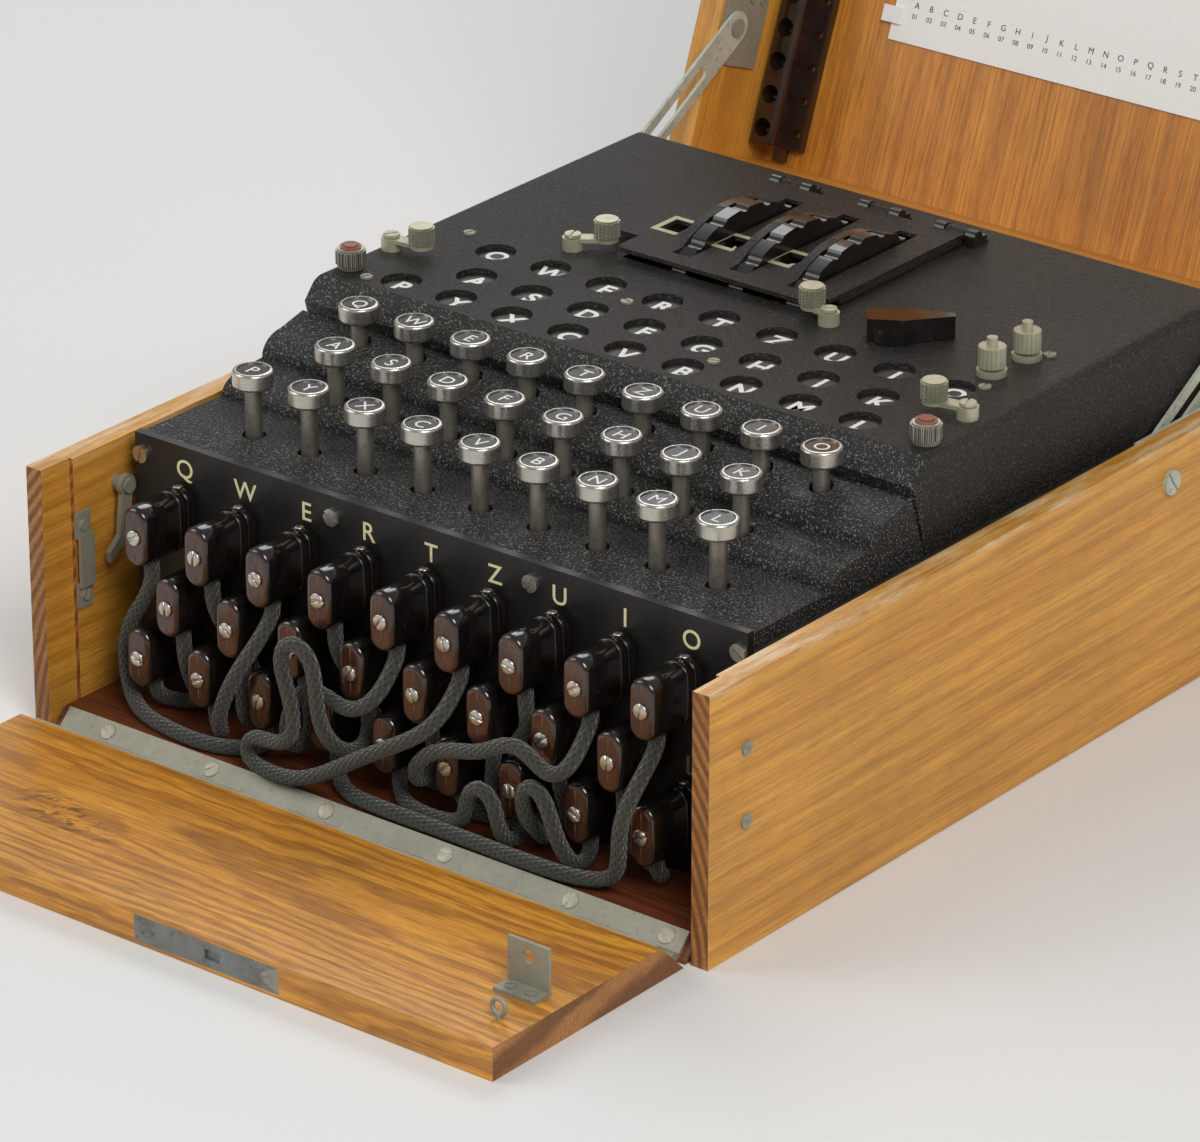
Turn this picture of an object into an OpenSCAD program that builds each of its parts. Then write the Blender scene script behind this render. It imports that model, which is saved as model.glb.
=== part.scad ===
// Portable rotor cipher machine in its wooden case, lid raised and front flap lowered.
// X to the right, Y to the back, Z up. The origin is the middle of the case's underside.
// Inside the modules y is measured backwards from the front ends of the side walls.

/* [Case] */
// Outside width of the case
case_w = 280; // [260:1:300]
// Length of the case's side walls, front to back
case_d = 332; // [330:1:345]
// Height of the side and back walls
wall_h = 93; // [92:0.5:95]
// Thickness of the side and back walls
wall_t = 8; // [7:0.5:9]
// Thickness of the floor board
floor_t = 7; // [6:0.5:8]
// Fingers in each corner joint of the case
case_fingers = 9; // [5:2:13]
// Depth of the rebate that the closed flap's sides lie in
rebate_depth = 1.5; // [1:0.1:2.5]
// Length of that rebate from the walls' front ends
rebate_len = 13.5; // [12.5:0.5:16]

/* [Flap] */
// Lap of the flap's sides into the walls' rebates
flap_lap = 1; // [0.5:0.1:1.2]
// Thickness of the flap board
flap_t = 11.3; // [10:0.1:12]
// Reach of the flap from its hinge axis to its free edge
flap_reach = 93.3; // [91:0.1:94]
// Distance of the flap's hinge axis in front of the side walls
flap_axis_out = 2; // [1.5:0.1:3]
// Height of the flap's hinge axis over the table
flap_axis_z = 1.8; // [1.7:0.05:2.2]

/* [Hinges] */
// Radius of the hinge knuckles
knuckle_r = 1.6; // [1.5:0.05:1.65]
// Radius of the hinge pins
pin_r = 0.8; // [0.6:0.05:0.9]
// Radial play of a running fit
running_play = 0.05; // [0.02:0.01:0.09]
// Thickness of the hinge strips
strip_t = 1.3; // [1:0.1:1.4]
// Length of the two hinge strips
strip_len = 258; // [240:1:258]
// Knuckles along each hinge
knuckle_count = 13; // [9:2:17]

/* [Lid] */
// Angle that the lid is opened, from closed
lid_open = 111; // [95:1:112]
// Outside height of the lid
lid_h = 54; // [52:0.5:60]
// Thickness of the lid's rim boards
rim_t = 10; // [9:0.5:10]
// Thickness of the lid's top board
lid_top_t = 8; // [6:0.5:9]
// Fingers in each corner joint of the lid
lid_fingers = 5; // [3:2:7]
// Gap between the closed lid and the walls
lid_gap = 0.4; // [0.3:0.05:0.6]
// Distance of the stays' upper pivots from the lid's hinge axis
stay_pivot_s = 58; // [50:1:64]
// Height of the stays' wall bolts over the table
stay_bolt_z = 79; // [72:1:82]
// Distance of the stays' wall bolts behind the walls' front ends
stay_bolt_y = 247; // [240:1:255]
// Width of a stay
stay_w = 12; // [10:0.5:14]
// Thickness of a stay
stay_t = 1.3; // [1:0.1:1.4]
// Radius of the stays' pivot rivets
stay_rivet_r = 2; // [1.5:0.1:2.5]

/* [Plugboard] */
// Gap between the side walls and the panel and covers
works_gap = 6; // [5.8:0.1:9]
// Distance of the panel's front face behind the walls' front ends
panel_y = 37.2; // [35:0.1:40]
// Thickness of the panel
panel_t = 3; // [2:0.5:4]
// Height of the panel's top edge over the table
panel_top = 96.5; // [95:0.5:97]
// Spacing of the plugs along a row
plug_pitch = 26.1; // [25.5:0.1:27]
// Spacing of the plug rows
plug_row_pitch = 21.6; // [21.6:0.1:22]
// Height of the lowest plug row over the table
plug_low_z = 29.9; // [29:0.1:31]
// Width of a plug
plug_w = 10.5; // [9:0.5:12]
// Height of a plug
plug_h = 21; // [18:0.5:21.2]
// Depth of a plug's front body
plug_front_t = 16.5; // [14:0.5:17]
// Depth of the collar behind it
plug_collar_t = 8; // [6:0.5:8]
// Distance between a plug's two pins
plug_pin_gap = 11; // [9:0.5:12]
// Diameter of the patch cords
cord_d = 5.2; // [5.1:0.1:5.2]

/* [Keyboard] */
// Spacing of the keys along a row
key_pitch = 23.9; // [22:0.1:24.2]
// Diameter of a key's ring
key_d = 13.7; // [12:0.1:14]
// Height of a key's ring
key_ring_h = 6; // [5:0.1:6.2]
// Diameter of a key's stem
key_stem_d = 5.7; // [4.5:0.1:6]
// Travel of a key
key_travel = 6; // [4:0.5:6]
// Distances of the three key rows behind the walls' front ends
key_row_y = [61.7, 89.1, 115.1]; // [40:0.1:130]
// Heights of the key tops in those rows
key_row_top = [118.5, 121.5, 124.7]; // [110:0.1:130]
// Thickness of the sheet metal covers
sheet_t = 2; // [1.5:0.1:2.2]

/* [Deck] */
// Height of the deck over the table
deck_z = 124; // [123:0.5:126]
// Distance of the deck's rear edge behind the walls' front ends
deck_rear = 300; // [296:1:305]
// Radius of the top cover's long edges
deck_edge_r = 4; // [3:0.5:6]
// Spacing of the lamp windows along a row
lamp_pitch = 23.8; // [22:0.1:24]
// Diameter of a lamp window
lamp_d = 14; // [12:0.5:15]
// Distances of the three window rows behind the walls' front ends
lamp_row_y = [140, 159, 180]; // [130:1:190]
// Sideways shifts of those rows
lamp_row_shift = [-3, 2, 5]; // [-6:0.5:6]

/* [Rotors] */
// Outer radius of the notched finger wheels
wheel_r = 52; // [50:0.5:52.5]
// Width of a finger wheel
wheel_w = 5.6; // [4:0.2:6]
// Notches round a finger wheel
wheel_notches = 26; // [20:1:32]
// Radius of a rotor's body
drum_r = 42; // [38:0.5:42]
// Distance between neighbouring rotors
rotor_pitch = 24; // [23.5:0.1:25]
// Width of one rotor
rotor_w = 22.5; // [20:0.5:23]
// Radius of the rotors' shaft
shaft_r = 5; // [4:0.5:7]
// Distance of the rotor axis behind the walls' front ends
rotor_y = 240; // [238:0.5:242]
// Height of the rotor axis over the table
rotor_z = 84; // [83:0.5:84.5]
// Middle of the left-hand finger wheel, from the machine's middle
first_wheel_x = -33; // [-34:0.5:-32]

/* [Hidden] */
$fn = 48;
eps = 0.01;
clear = 0.3; // free gap between pieces that move past each other
glue_gap = 0.1; // glue line between two boards

row_count = [9, 8, 9];
row_first = [-4, -3.5, -4];
key_letters = ["pyxcvbnml", "asdfghjk", "qwertzuio"];

half_w = case_w / 2;
wall_in = half_w - wall_t;
flap_w = 2 * (wall_in + flap_lap);
works_w = 2 * (wall_in - works_gap); // the plugboard panel and the covers behind it
works_x = works_w / 2;

// Flap hinge: both boards are cut at 45 degrees and carry a strip on the cut.
flap_axis_y = -flap_axis_out;
strip_seat = knuckle_r + 0.35; // from the axis to either 45 degree cut
floor_foot_y = flap_axis_y - flap_axis_z + strip_seat * sqrt(2);
flap_foot_y = flap_axis_y + flap_axis_z - strip_seat * sqrt(2);
flap_front_y = flap_axis_y - flap_reach;
closed_flap_top = flap_axis_z + flap_reach;
flap_closed_front = flap_axis_y - flap_axis_z;
floor_strip_w = floor_t * sqrt(2) - 0.4;
flap_strip_w = 12;

// Lid hinge: the axis lies behind the back wall, level with the walls' top.
lid_axis_y = case_d + strip_seat;
lid_axis_z = wall_h + lid_gap / 2;
lid_z0 = wall_h + lid_gap;
lid_front_y = flap_closed_front;
lid_inner_z = lid_z0 + lid_h - lid_top_t;
lid_rebate_z = closed_flap_top + lid_gap;

// Stays: upper pivot on the lid, lower slot beside the bolt in the wall.
stay_x = works_x + 1.2;
stay_pivot_rise = 8; // pivot over the closed lid's lower edge
stay_top_y = lid_axis_y - stay_pivot_s * cos(lid_open) + stay_pivot_rise * sin(lid_open);
stay_top_z = lid_axis_z + stay_pivot_s * sin(lid_open) + stay_pivot_rise * cos(lid_open);
stay_dy = stay_top_y - stay_bolt_y;
stay_dz = stay_top_z - stay_bolt_z;
stay_len = sqrt(stay_dy * stay_dy + stay_dz * stay_dz);
stay_slope = atan2(stay_dz, stay_dy);
stay_bolt_r = 2.2;
rivet_head_t = 0.5;

// Plugs
plug_back_y = panel_y - 0.8;
plug_front_y = plug_back_y - plug_collar_t - plug_front_t;
plug_exit_y = plug_front_y + plug_front_t / 2;
pin_thin_r = 2;
pin_thick_r = 3;
bush_wall = 1.2;
bush_len = panel_t + 5;

// Cords: points [x, y, z] in millimetres, chosen by hand, y behind the walls' front ends.
cord_r = cord_d / 2;

// Keys
cover_hole_r = key_stem_d / 2 + 1.2;
guide_top = 84;
guide_t = 2;
stop_r = key_stem_d / 2 + 1.4;
stop_h = 3;

// Top cover: the fascia leans back from its lower edge up to the deck
fascia_foot_y = 122.6;
fascia_foot_z = 115.4;
fascia_top_y = 130;
skirt_z = 90;

// Rotor bay
bay_y0 = 203;
bay_y1 = 281;
cover_gap = 2.8; // daylight under the rotor cover
rotor_cover_t = 1.5;
rotor_cover_z = deck_z + cover_gap;
rotor_cover_top = rotor_cover_z + rotor_cover_t;
rotor_cover_x0 = -67;
rotor_cover_x1 = 30;
rotor_cover_y0 = 201;
rotor_cover_y1 = 282;
rotor_hinge_y = 285;
rotor_hinge_z = rotor_cover_z + 0.2;
rotor_left = 4.5 - rotor_w; // rotor body from its wheel's middle
bay_x0 = first_wheel_x + rotor_left - 3;
bay_x1 = first_wheel_x + 2 * rotor_pitch + 7;
cheek_t = 2;
fixed_wheel_r = 37;
entry_t = 5;

// ---------- helpers ----------

// Moves shapes drawn from the walls' front ends to the case's own origin.
module from_front() {
    translate([0, -case_d / 2, 0]) children();
}

// Draws its children on the right, or mirrored on the left where side is -1.
module on_side(side) {
    if (side < 0) mirror([1, 0, 0]) children();
    else children();
}

// A block between two corners
module block(x, y, z) {
    translate([x[0], y[0], z[0]]) cube([x[1] - x[0], y[1] - y[0], z[1] - z[0]]);
}

// A cylinder along X from x0 to x1, centred on (y, z)
module rod_x(r, x0, x1, y = 0, z = 0) {
    translate([x0, y, z]) rotate([0, 90, 0]) cylinder(r = r, h = x1 - x0);
}

// A cylinder along Y from y0 to y1, centred on (x, z)
module rod_y(r, y0, y1, x = 0, z = 0) {
    translate([x, y0, z]) rotate([-90, 0, 0]) cylinder(r = r, h = y1 - y0);
}

// A [y, z] outline drawn out along X
module along_x(x0, x1) {
    translate([x0, 0, 0]) rotate([90, 0, 90]) linear_extrude(x1 - x0) children();
}

// An [x, z] outline drawn out along Y
module along_y(y0, y1) {
    translate([0, y1, 0]) rotate([90, 0, 0]) linear_extrude(y1 - y0) children();
}

// A round screw head standing up, with its slot turned by turn
module screw_head(r, h, turn = 0) {
    difference() {
        cylinder(r = r, h = h);
        translate([0, 0, h]) rotate([0, 0, turn]) cube([2 * r + 1, 0.9, h], center = true);
    }
}

// An upright stadium outline
module stadium(w, h) {
    square([w, h - w], center = true);
    for (s = [-1, 1]) translate([0, s * (h - w) / 2]) circle(d = w);
}

// A rectangle outline with round corners
module round_rect(x, y, r) {
    square([x, y - 2 * r], center = true);
    square([x - 2 * r, y], center = true);
    for (sx = [-1, 1]) for (sy = [-1, 1]) translate([sx * (x / 2 - r), sy * (y / 2 - r)]) circle(r);
}

// Points of a quarter ellipse from its foot up to its crown, in [y, z]
function rising_arc(foot_y, foot_z, run, rise, steps = 8) =
    [for (i = [0:steps]) [foot_y + run * (1 - cos(90 * i / steps)), foot_z + rise * sin(90 * i / steps)]];

// ---------- hinges ----------

knuckle_pitch = strip_len / knuckle_count;

// Knuckles of one leaf, every second one from first, on the axis y = z = 0
module knuckles(first) {
    for (i = [first:2:knuckle_count - 1]) {
        x0 = -strip_len / 2 + i * knuckle_pitch;
        rod_x(knuckle_r, x0 + clear / 2, x0 + knuckle_pitch - clear / 2);
    }
}

// Leaf between the offsets z0 and z1 from the axis, reaching out to y = reach.
// Beside the other leaf's knuckles its edge stands back.
module leaf(first, z0, z1, reach) {
    block([-strip_len / 2, strip_len / 2], [knuckle_r + clear + 0.1, reach], [z0, z1]);
    for (i = [first:2:knuckle_count - 1]) {
        x0 = -strip_len / 2 + i * knuckle_pitch;
        block([x0 + clear / 2, x0 + knuckle_pitch - clear / 2], [0, reach], [z0, z1]);
    }
}

// Half of a hinge that holds the pin
module pinned_leaf(z0, z1, reach) {
    knuckles(0);
    leaf(0, z0, z1, reach);
    rod_x(pin_r, -strip_len / 2 + clear / 2, strip_len / 2 - clear / 2);
}

// Half of a hinge that turns on the pin
module turning_leaf(z0, z1, reach) {
    difference() {
        union() {
            knuckles(1);
            leaf(1, z0, z1, reach);
        }
        rod_x(pin_r + running_play, -strip_len, strip_len);
    }
}

// ---------- case ----------

module case_floor() {
    foot = floor_foot_y;
    back = case_d - wall_t;
    color("peru") from_front()
        along_x(-wall_in, wall_in)
            polygon([[foot, 0], [back, 0], [back, floor_t], [foot + floor_t, floor_t]]);
}

// Every second layer of a corner joint, as blocks over a footprint
module finger_layers(x, y, height, count, first, inset = 0) {
    step = height / count;
    for (i = [first:2:count - 1]) block(x, y, [i * step + inset, (i + 1) * step - inset]);
}

module side_wall() {
    difference() {
        block([wall_in, half_w], [0, case_d], [0, wall_h]);
        block([wall_in - 1, wall_in + rebate_depth], [-1, rebate_len], [-1, wall_h + 1]);
        finger_layers([wall_in - eps, half_w + 1], [case_d - wall_t, case_d + 1], wall_h, case_fingers, 1);
        rod_x(stay_bolt_r, wall_in - 1, half_w + 1, stay_bolt_y, stay_bolt_z);
    }
}

module back_wall() {
    y = [case_d - wall_t, case_d];
    block([-wall_in + glue_gap, wall_in - glue_gap], y, [0, wall_h]);
    finger_layers([-half_w, -wall_in + 1], [y[0] + glue_gap, y[1]], wall_h, case_fingers, 1, glue_gap);
    finger_layers([wall_in - 1, half_w], [y[0] + glue_gap, y[1]], wall_h, case_fingers, 1, glue_gap);
}

module case_walls() {
    color("peru") from_front() {
        for (side = [-1, 1]) on_side(side) side_wall();
        back_wall();
    }
}

// Hat-shaped keeper on a side wall behind the rebate's front
clip_y = 16.5;
clip_z = [39.6, 73.6];
clip_foot = 9;
clip_rise = 1.6;

module wall_clip() {
    x = wall_in;
    y = [clip_y - 3.3, clip_y + 3.3];
    hat_x = [x - 1.2 - clip_rise, x - clip_rise];
    for (end = [0, 1]) {
        inner = end == 0 ? [clip_z[0], clip_z[0] + clip_foot] : [clip_z[1] - clip_foot, clip_z[1]];
        block([x - 1.2, x], y, inner);
    }
    block([x - 1.2 - clip_rise, x], y, [clip_z[0] + clip_foot - 1.2, clip_z[0] + clip_foot]);
    block([x - 1.2 - clip_rise, x], y, [clip_z[1] - clip_foot, clip_z[1] - clip_foot + 1.2]);
    block(hat_x, y, [clip_z[0] + clip_foot - 1.2, clip_z[1] - clip_foot + 1.2]);
}

// Plate on the inside of a side wall under the stay, with the stay's bolt
stay_plate_t = 1.2;

module stay_plate() {
    difference() {
        block([wall_in - stay_plate_t, wall_in], [stay_bolt_y - 8, stay_bolt_y + 36], [stay_bolt_z - 9, wall_h]);
        rod_x(stay_bolt_r, wall_in - 3, wall_in + 1, stay_bolt_y, stay_bolt_z);
    }
}

module stay_bolt() {
    rod_x(stay_bolt_r - eps, wall_in - stay_plate_t - 0.4, half_w, stay_bolt_y, stay_bolt_z);
    translate([half_w, stay_bolt_y, stay_bolt_z]) rotate([0, 90, 0]) screw_head(4.2, 1.6, 35);
}

floor_screw_x = [-strip_len / 2 + 19, -65, -16, 33.5, 84, strip_len / 2 - 7];

module case_fittings() {
    seat = strip_seat;
    color("lightgray") from_front() {
        difference() {
            translate([0, flap_axis_y, flap_axis_z]) rotate([45, 0, 0])
                pinned_leaf(-seat, -seat + strip_t, floor_strip_w);
            translate([0, flap_axis_y, flap_axis_z]) rotate([45, 0, 0])
                for (x = floor_screw_x) translate([x, floor_strip_w / 2 + 1, -seat + 0.5]) cylinder(r = 2.4, h = 3);
        }
        translate([0, flap_axis_y, flap_axis_z]) rotate([45, 0, 0])
            for (i = [0:len(floor_screw_x) - 1])
                translate([floor_screw_x[i], floor_strip_w / 2 + 1, -seat + 0.5])
                    screw_head(2.3, strip_t - 0.5, 50 + 35 * i);
        translate([0, lid_axis_y, lid_axis_z]) rotate([-90, 0, 0])
            pinned_leaf(-seat, -seat + strip_t, 12);
        for (side = [-1, 1]) on_side(side) {
            wall_clip();
            hook_screw();
            stay_plate();
            stay_bolt();
            for (z = [clip_z[0] + clip_foot / 2, clip_z[1] - clip_foot / 2]) {
                translate([wall_in - 1.2, clip_y, z]) rotate([0, -90, 0]) screw_head(2, 1, 20);
                translate([half_w, clip_y + 2, z]) rotate([0, 90, 0]) screw_head(2.4, 0.8, 60);
            }
        }
    }
}

// ---------- front flap ----------

lock_x = [-10, 49];
lock_t = 1;
lock_bolt_x = 22;

module flap_board() {
    foot = flap_foot_y;
    color("peru") from_front() difference() {
        along_x(-flap_w / 2, flap_w / 2)
            polygon([[foot, 0], [foot - flap_t, flap_t], [flap_front_y, flap_t], [flap_front_y, 0]]);
        block(lock_x, [flap_front_y - 1, flap_front_y + lock_t], [1.2, flap_t - 1.2]);
        block([lock_bolt_x - 9, lock_bolt_x + 9], [flap_front_y - 1, flap_front_y + 22], [2.6, flap_t - 2.6]);
    }
}

// Bracket on the flap that the case's right-hand keeper steadies
tab_x = [flap_w / 2 - 23, flap_w / 2 - 7];
tab_y = -60;
tab_h = 16;

module flap_tab() {
    block(tab_x, [tab_y - 7, tab_y + 1.2], [flap_t, flap_t + 1.2]);
    difference() {
        block(tab_x, [tab_y, tab_y + 1.2], [flap_t, flap_t + tab_h]);
        rod_y(2.2, tab_y - 1, tab_y + 3, (tab_x[0] + tab_x[1]) / 2, flap_t + tab_h - 5);
    }
}

// Eye that a side hook drops into
eye_x = flap_w / 2 - 10;
eye_y = -80;

module flap_eye() {
    translate([eye_x, eye_y, flap_t]) {
        cylinder(r = 1.1, h = 1.6);
        translate([0, 0, 4.2]) rotate([90, 0, 0]) rotate_extrude() translate([2.6, 0]) circle(r = 0.8, $fn = 24);
    }
}

module flap_fittings() {
    color("lightgray") from_front() {
        translate([0, flap_axis_y, flap_axis_z]) rotate([135, 0, 0])
            turning_leaf(strip_seat - strip_t, strip_seat, flap_strip_w);
        difference() {
            block(lock_x, [flap_front_y, flap_front_y + lock_t], [1.2, flap_t - 1.2]);
            block([lock_bolt_x - 3, lock_bolt_x + 3], [flap_front_y - 1, flap_front_y + 2], [4, flap_t - 4]);
            for (x = lock_x) {
                at = x + (x < lock_bolt_x ? 5 : -5);
                rod_y(2.3, flap_front_y - 1, flap_front_y + 0.5, at, flap_t / 2);
            }
        }
        for (x = [lock_x[0] + 5, lock_x[1] - 5])
            translate([x, flap_front_y + 0.5, flap_t / 2]) rotate([90, 0, 0]) screw_head(2.2, 0.5, 30);
        block([lock_bolt_x - 8.9, lock_bolt_x + 8.9], [flap_front_y + lock_t, flap_front_y + 21.9], [2.7, flap_t - 2.7]);
        flap_tab();
        for (x = [tab_x[0] + 4, tab_x[1] - 4]) translate([x, tab_y - 3.5, flap_t + 1.2]) screw_head(1.8, 0.9, 40);
        for (side = [-1, 1]) on_side(side) flap_eye();
    }
}

// ---------- side hooks ----------

hook_y = 34;
hook_z = 78.2;
hook_t = 2;
hook_x = wall_in - 3.1 - hook_t;

// Flat hook that hangs from a shouldered screw in the side wall
module hook() {
    difference() {
        union() {
            rod_x(3.6, hook_x, hook_x + hook_t, hook_y, hook_z);
            along_x(hook_x, hook_x + hook_t)
                polygon([[hook_y - 2.4, hook_z - 1.9], [hook_y + 2.4, hook_z - 1.9], [hook_y - 0.5, hook_z - 19],
                    [hook_y - 9, hook_z - 25], [hook_y - 9.6, hook_z - 21.4], [hook_y - 4.4, hook_z - 17]]);
        }
        rod_x(1.6 + running_play, hook_x - 1, hook_x + hook_t + 1, hook_y, hook_z);
    }
}

module hook_left() { color("lightgray") from_front() on_side(-1) hook(); }
module hook_right() { color("lightgray") from_front() on_side(1) hook(); }

// Shouldered screw that carries a hook
module hook_screw() {
    rod_x(1.6, hook_x - 0.3, wall_in, hook_y, hook_z);
    rod_x(2.6, hook_x + hook_t + clear, wall_in, hook_y, hook_z);
    translate([hook_x - clear, hook_y, hook_z]) rotate([0, -90, 0]) screw_head(2.6, 1, 15);
}

// ---------- lid ----------

// Puts a lid drawn closed on its hinge, opened by lid_open.
module opened() {
    from_front() translate([0, lid_axis_y, lid_axis_z]) rotate([-lid_open, 0, 0])
        translate([0, -lid_axis_y, -lid_axis_z]) children();
}

module lid_side_board() {
    difference() {
        block([half_w - rim_t, half_w], [lid_front_y, case_d], [0, lid_h]);
        for (y = [[lid_front_y - 1, lid_front_y + rim_t], [case_d - rim_t, case_d + 1]])
            finger_layers([half_w - rim_t - 1, half_w + 1], y, lid_h, lid_fingers, 1);
        block([half_w - rim_t - 1, half_w - lid_ledge], [lid_front_y + lid_ledge, case_d - lid_ledge],
            [lid_h - lid_top_t, lid_h + 1]);
    }
}

lid_ledge = 3; // wood left outside the lid's top board

module lid_end_board(y0) {
    difference() {
        union() {
            block([-half_w + rim_t + glue_gap, half_w - rim_t - glue_gap], [y0, y0 + rim_t], [0, lid_h]);
            for (x = [[-half_w, -half_w + rim_t + 1], [half_w - rim_t - 1, half_w]])
                finger_layers(x, [y0 + 2 * glue_gap, y0 + rim_t - 2 * glue_gap], lid_h, lid_fingers, 1, glue_gap);
        }
        block([-half_w + lid_ledge, half_w - lid_ledge], [lid_front_y + lid_ledge, case_d - lid_ledge],
            [lid_h - lid_top_t, lid_h + 1]);
    }
}

module lid_frame() {
    color("peru") opened() difference() {
        translate([0, 0, lid_z0]) {
            for (side = [-1, 1]) on_side(side) lid_side_board();
            lid_end_board(lid_front_y);
            lid_end_board(case_d - rim_t);
        }
        block([-flap_w / 2 - 0.5, flap_w / 2 + 0.5], [lid_front_y - 1, flap_axis_y + flap_t + 1], [0, lid_rebate_z]);
    }
}

module lid_panel() {
    color("burlywood") opened()
        block([-half_w + lid_ledge, half_w - lid_ledge], [lid_front_y + lid_ledge, case_d - lid_ledge],
            [lid_inner_z, lid_inner_z + lid_top_t]);
}

// Bracket on the rim's inner face with the rivet that the stay turns on
bracket_t = 1.1;

module stay_bracket() {
    x = half_w - rim_t;
    y = lid_axis_y - stay_pivot_s;
    block([x - bracket_t, x], [y - 16, y + 14], [lid_z0 + 1.5, lid_z0 + 26]);
    rod_x(stay_rivet_r, stay_x - clear - rivet_head_t, x - bracket_t, y, lid_axis_z + stay_pivot_rise);
    rod_x(stay_rivet_r + 1.4, stay_x - clear - rivet_head_t, stay_x - clear, y, lid_axis_z + stay_pivot_rise);
}

module lid_fittings() {
    color("lightgray") opened() {
        translate([0, lid_axis_y, lid_axis_z]) rotate([90, 0, 0])
            turning_leaf(strip_seat - strip_t, strip_seat, 14);
        for (side = [-1, 1]) on_side(side) {
            stay_bracket();
            for (z = [lid_z0 + 16, lid_z0 + 22])
                translate([half_w - rim_t - bracket_t, lid_axis_y - stay_pivot_s - 11, z])
                    rotate([0, -90, 0]) screw_head(1.7, 0.6, 25);
        }
    }
}

// Flat bar with an eye for the rivet and a slot that runs along the wall bolt
module stay() {
    tail = stay_len + stay_w / 2 + 2;
    slot = [-stay_len - stay_bolt_r, -stay_w * 2];
    translate([0, stay_top_y, stay_top_z]) rotate([stay_slope, 0, 0]) difference() {
        union() {
            rod_x(stay_w / 2, stay_x, stay_x + stay_t);
            rod_x(stay_w / 2, stay_x, stay_x + stay_t, -tail + stay_w / 2);
            block([stay_x, stay_x + stay_t], [-tail + stay_w / 2, 0], [-stay_w / 2, stay_w / 2]);
        }
        rod_x(stay_rivet_r + running_play, stay_x - 1, stay_x + stay_t + 1);
        block([stay_x - 1, stay_x + stay_t + 1], slot, [-stay_bolt_r - 0.3, stay_bolt_r + 0.3]);
        rod_x(stay_bolt_r + 0.3, stay_x - 1, stay_x + stay_t + 1, slot[0]);
        rod_x(stay_bolt_r + 0.3, stay_x - 1, stay_x + stay_t + 1, slot[1]);
    }
}

module stay_left() { color("lightgray") from_front() on_side(-1) stay(); }
module stay_right() { color("lightgray") from_front() on_side(1) stay(); }

// Bakelite block on the lid's inside that stores spare lamps in a row of sockets
holder_s = [18, 92]; // from the lid's hinge axis
holder_x = [-(half_w - rim_t - 0.6), -(half_w - rim_t - 11)];
holder_h = 13;
holder_flange = 6.5;
holder_sockets = 6;

module spare_lamp_holder() {
    y0 = lid_axis_y - holder_s[1];
    y1 = lid_axis_y - holder_s[0];
    step = (y1 - y0) / holder_sockets;
    face_z = lid_inner_z - holder_h;
    color("#1c1a19") opened() difference() {
        union() {
            along_y(y0, y1) {
                translate([(holder_x[0] + holder_x[1]) / 2, face_z + holder_h / 2])
                    round_rect(holder_x[1] - holder_x[0], holder_h, 2);
                translate([holder_x[1] - 3, lid_inner_z - 3]) square([holder_flange + 3, 3]);
            }
            block([holder_x[0] + 1, holder_x[1] - 1], [y0, y1], [lid_inner_z - 4, lid_inner_z]);
            block([holder_x[1] - 5, holder_x[1]], [y1, y1 + 5], [lid_inner_z - 2.5, lid_inner_z]);
        }
        for (i = [0:holder_sockets - 1]) {
            y = y0 + (i + 0.5) * step;
            translate([(holder_x[0] + holder_x[1]) / 2, y, face_z - 1]) cylinder(r = 3.4, h = 9);
            translate([holder_x[1] + holder_flange / 2, y, lid_inner_z - 4]) cylinder(r = 1.6, h = 5);
        }
    }
}

// Framed instruction card on the lid's inside, held by two spring clips
card_x = [-88, 88];
card_s = [66, 206];

module lid_card() {
    y0 = lid_axis_y - card_s[1];
    y1 = lid_axis_y - card_s[0];
    color("ivory") opened() {
        block(card_x, [y0, y1], [lid_inner_z - 0.8, lid_inner_z]);
        for (x = card_x) {
            block([x - 4, x + 4], [y1 - 12, y1 - 6], [lid_inner_z - 2, lid_inner_z - 0.8]);
        }
    }
}

// ---------- plugboard ----------

function column_x(row, i, pitch) = (row_first[row] + i) * pitch;
function plug_z(row) = plug_low_z + row * plug_row_pitch;

module at_plugs() {
    for (row = [0:2]) for (i = [0:row_count[row] - 1])
        translate([column_x(row, i, plug_pitch), 0, plug_z(row)]) children();
}

// Panel with a bush for each pin of each plug
module plugboard_panel() {
    color("#26241f") from_front() {
        difference() {
            union() {
                block([-works_x, works_x], [panel_y, panel_y + panel_t], [floor_t, panel_top]);
                at_plugs() for (s = [-1, 1])
                    rod_y(pin_thick_r + bush_wall, panel_y - 0.3, panel_y + bush_len, 0, s * plug_pin_gap / 2);
            }
            at_plugs() {
                rod_y(pin_thin_r + running_play, panel_y - 1, panel_y + bush_len + 1, 0, plug_pin_gap / 2);
                rod_y(pin_thick_r + running_play, panel_y - 1, panel_y + bush_len + 1, 0, -plug_pin_gap / 2);
            }
        }
        for (x = (works_x - 3) * [-1, -1 / 3, 1 / 3, 1])
            translate([x, panel_y, panel_top - 7.1]) rotate([90, 0, 0]) screw_head(3, 1.4, 20 + x);
    }
}

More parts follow.
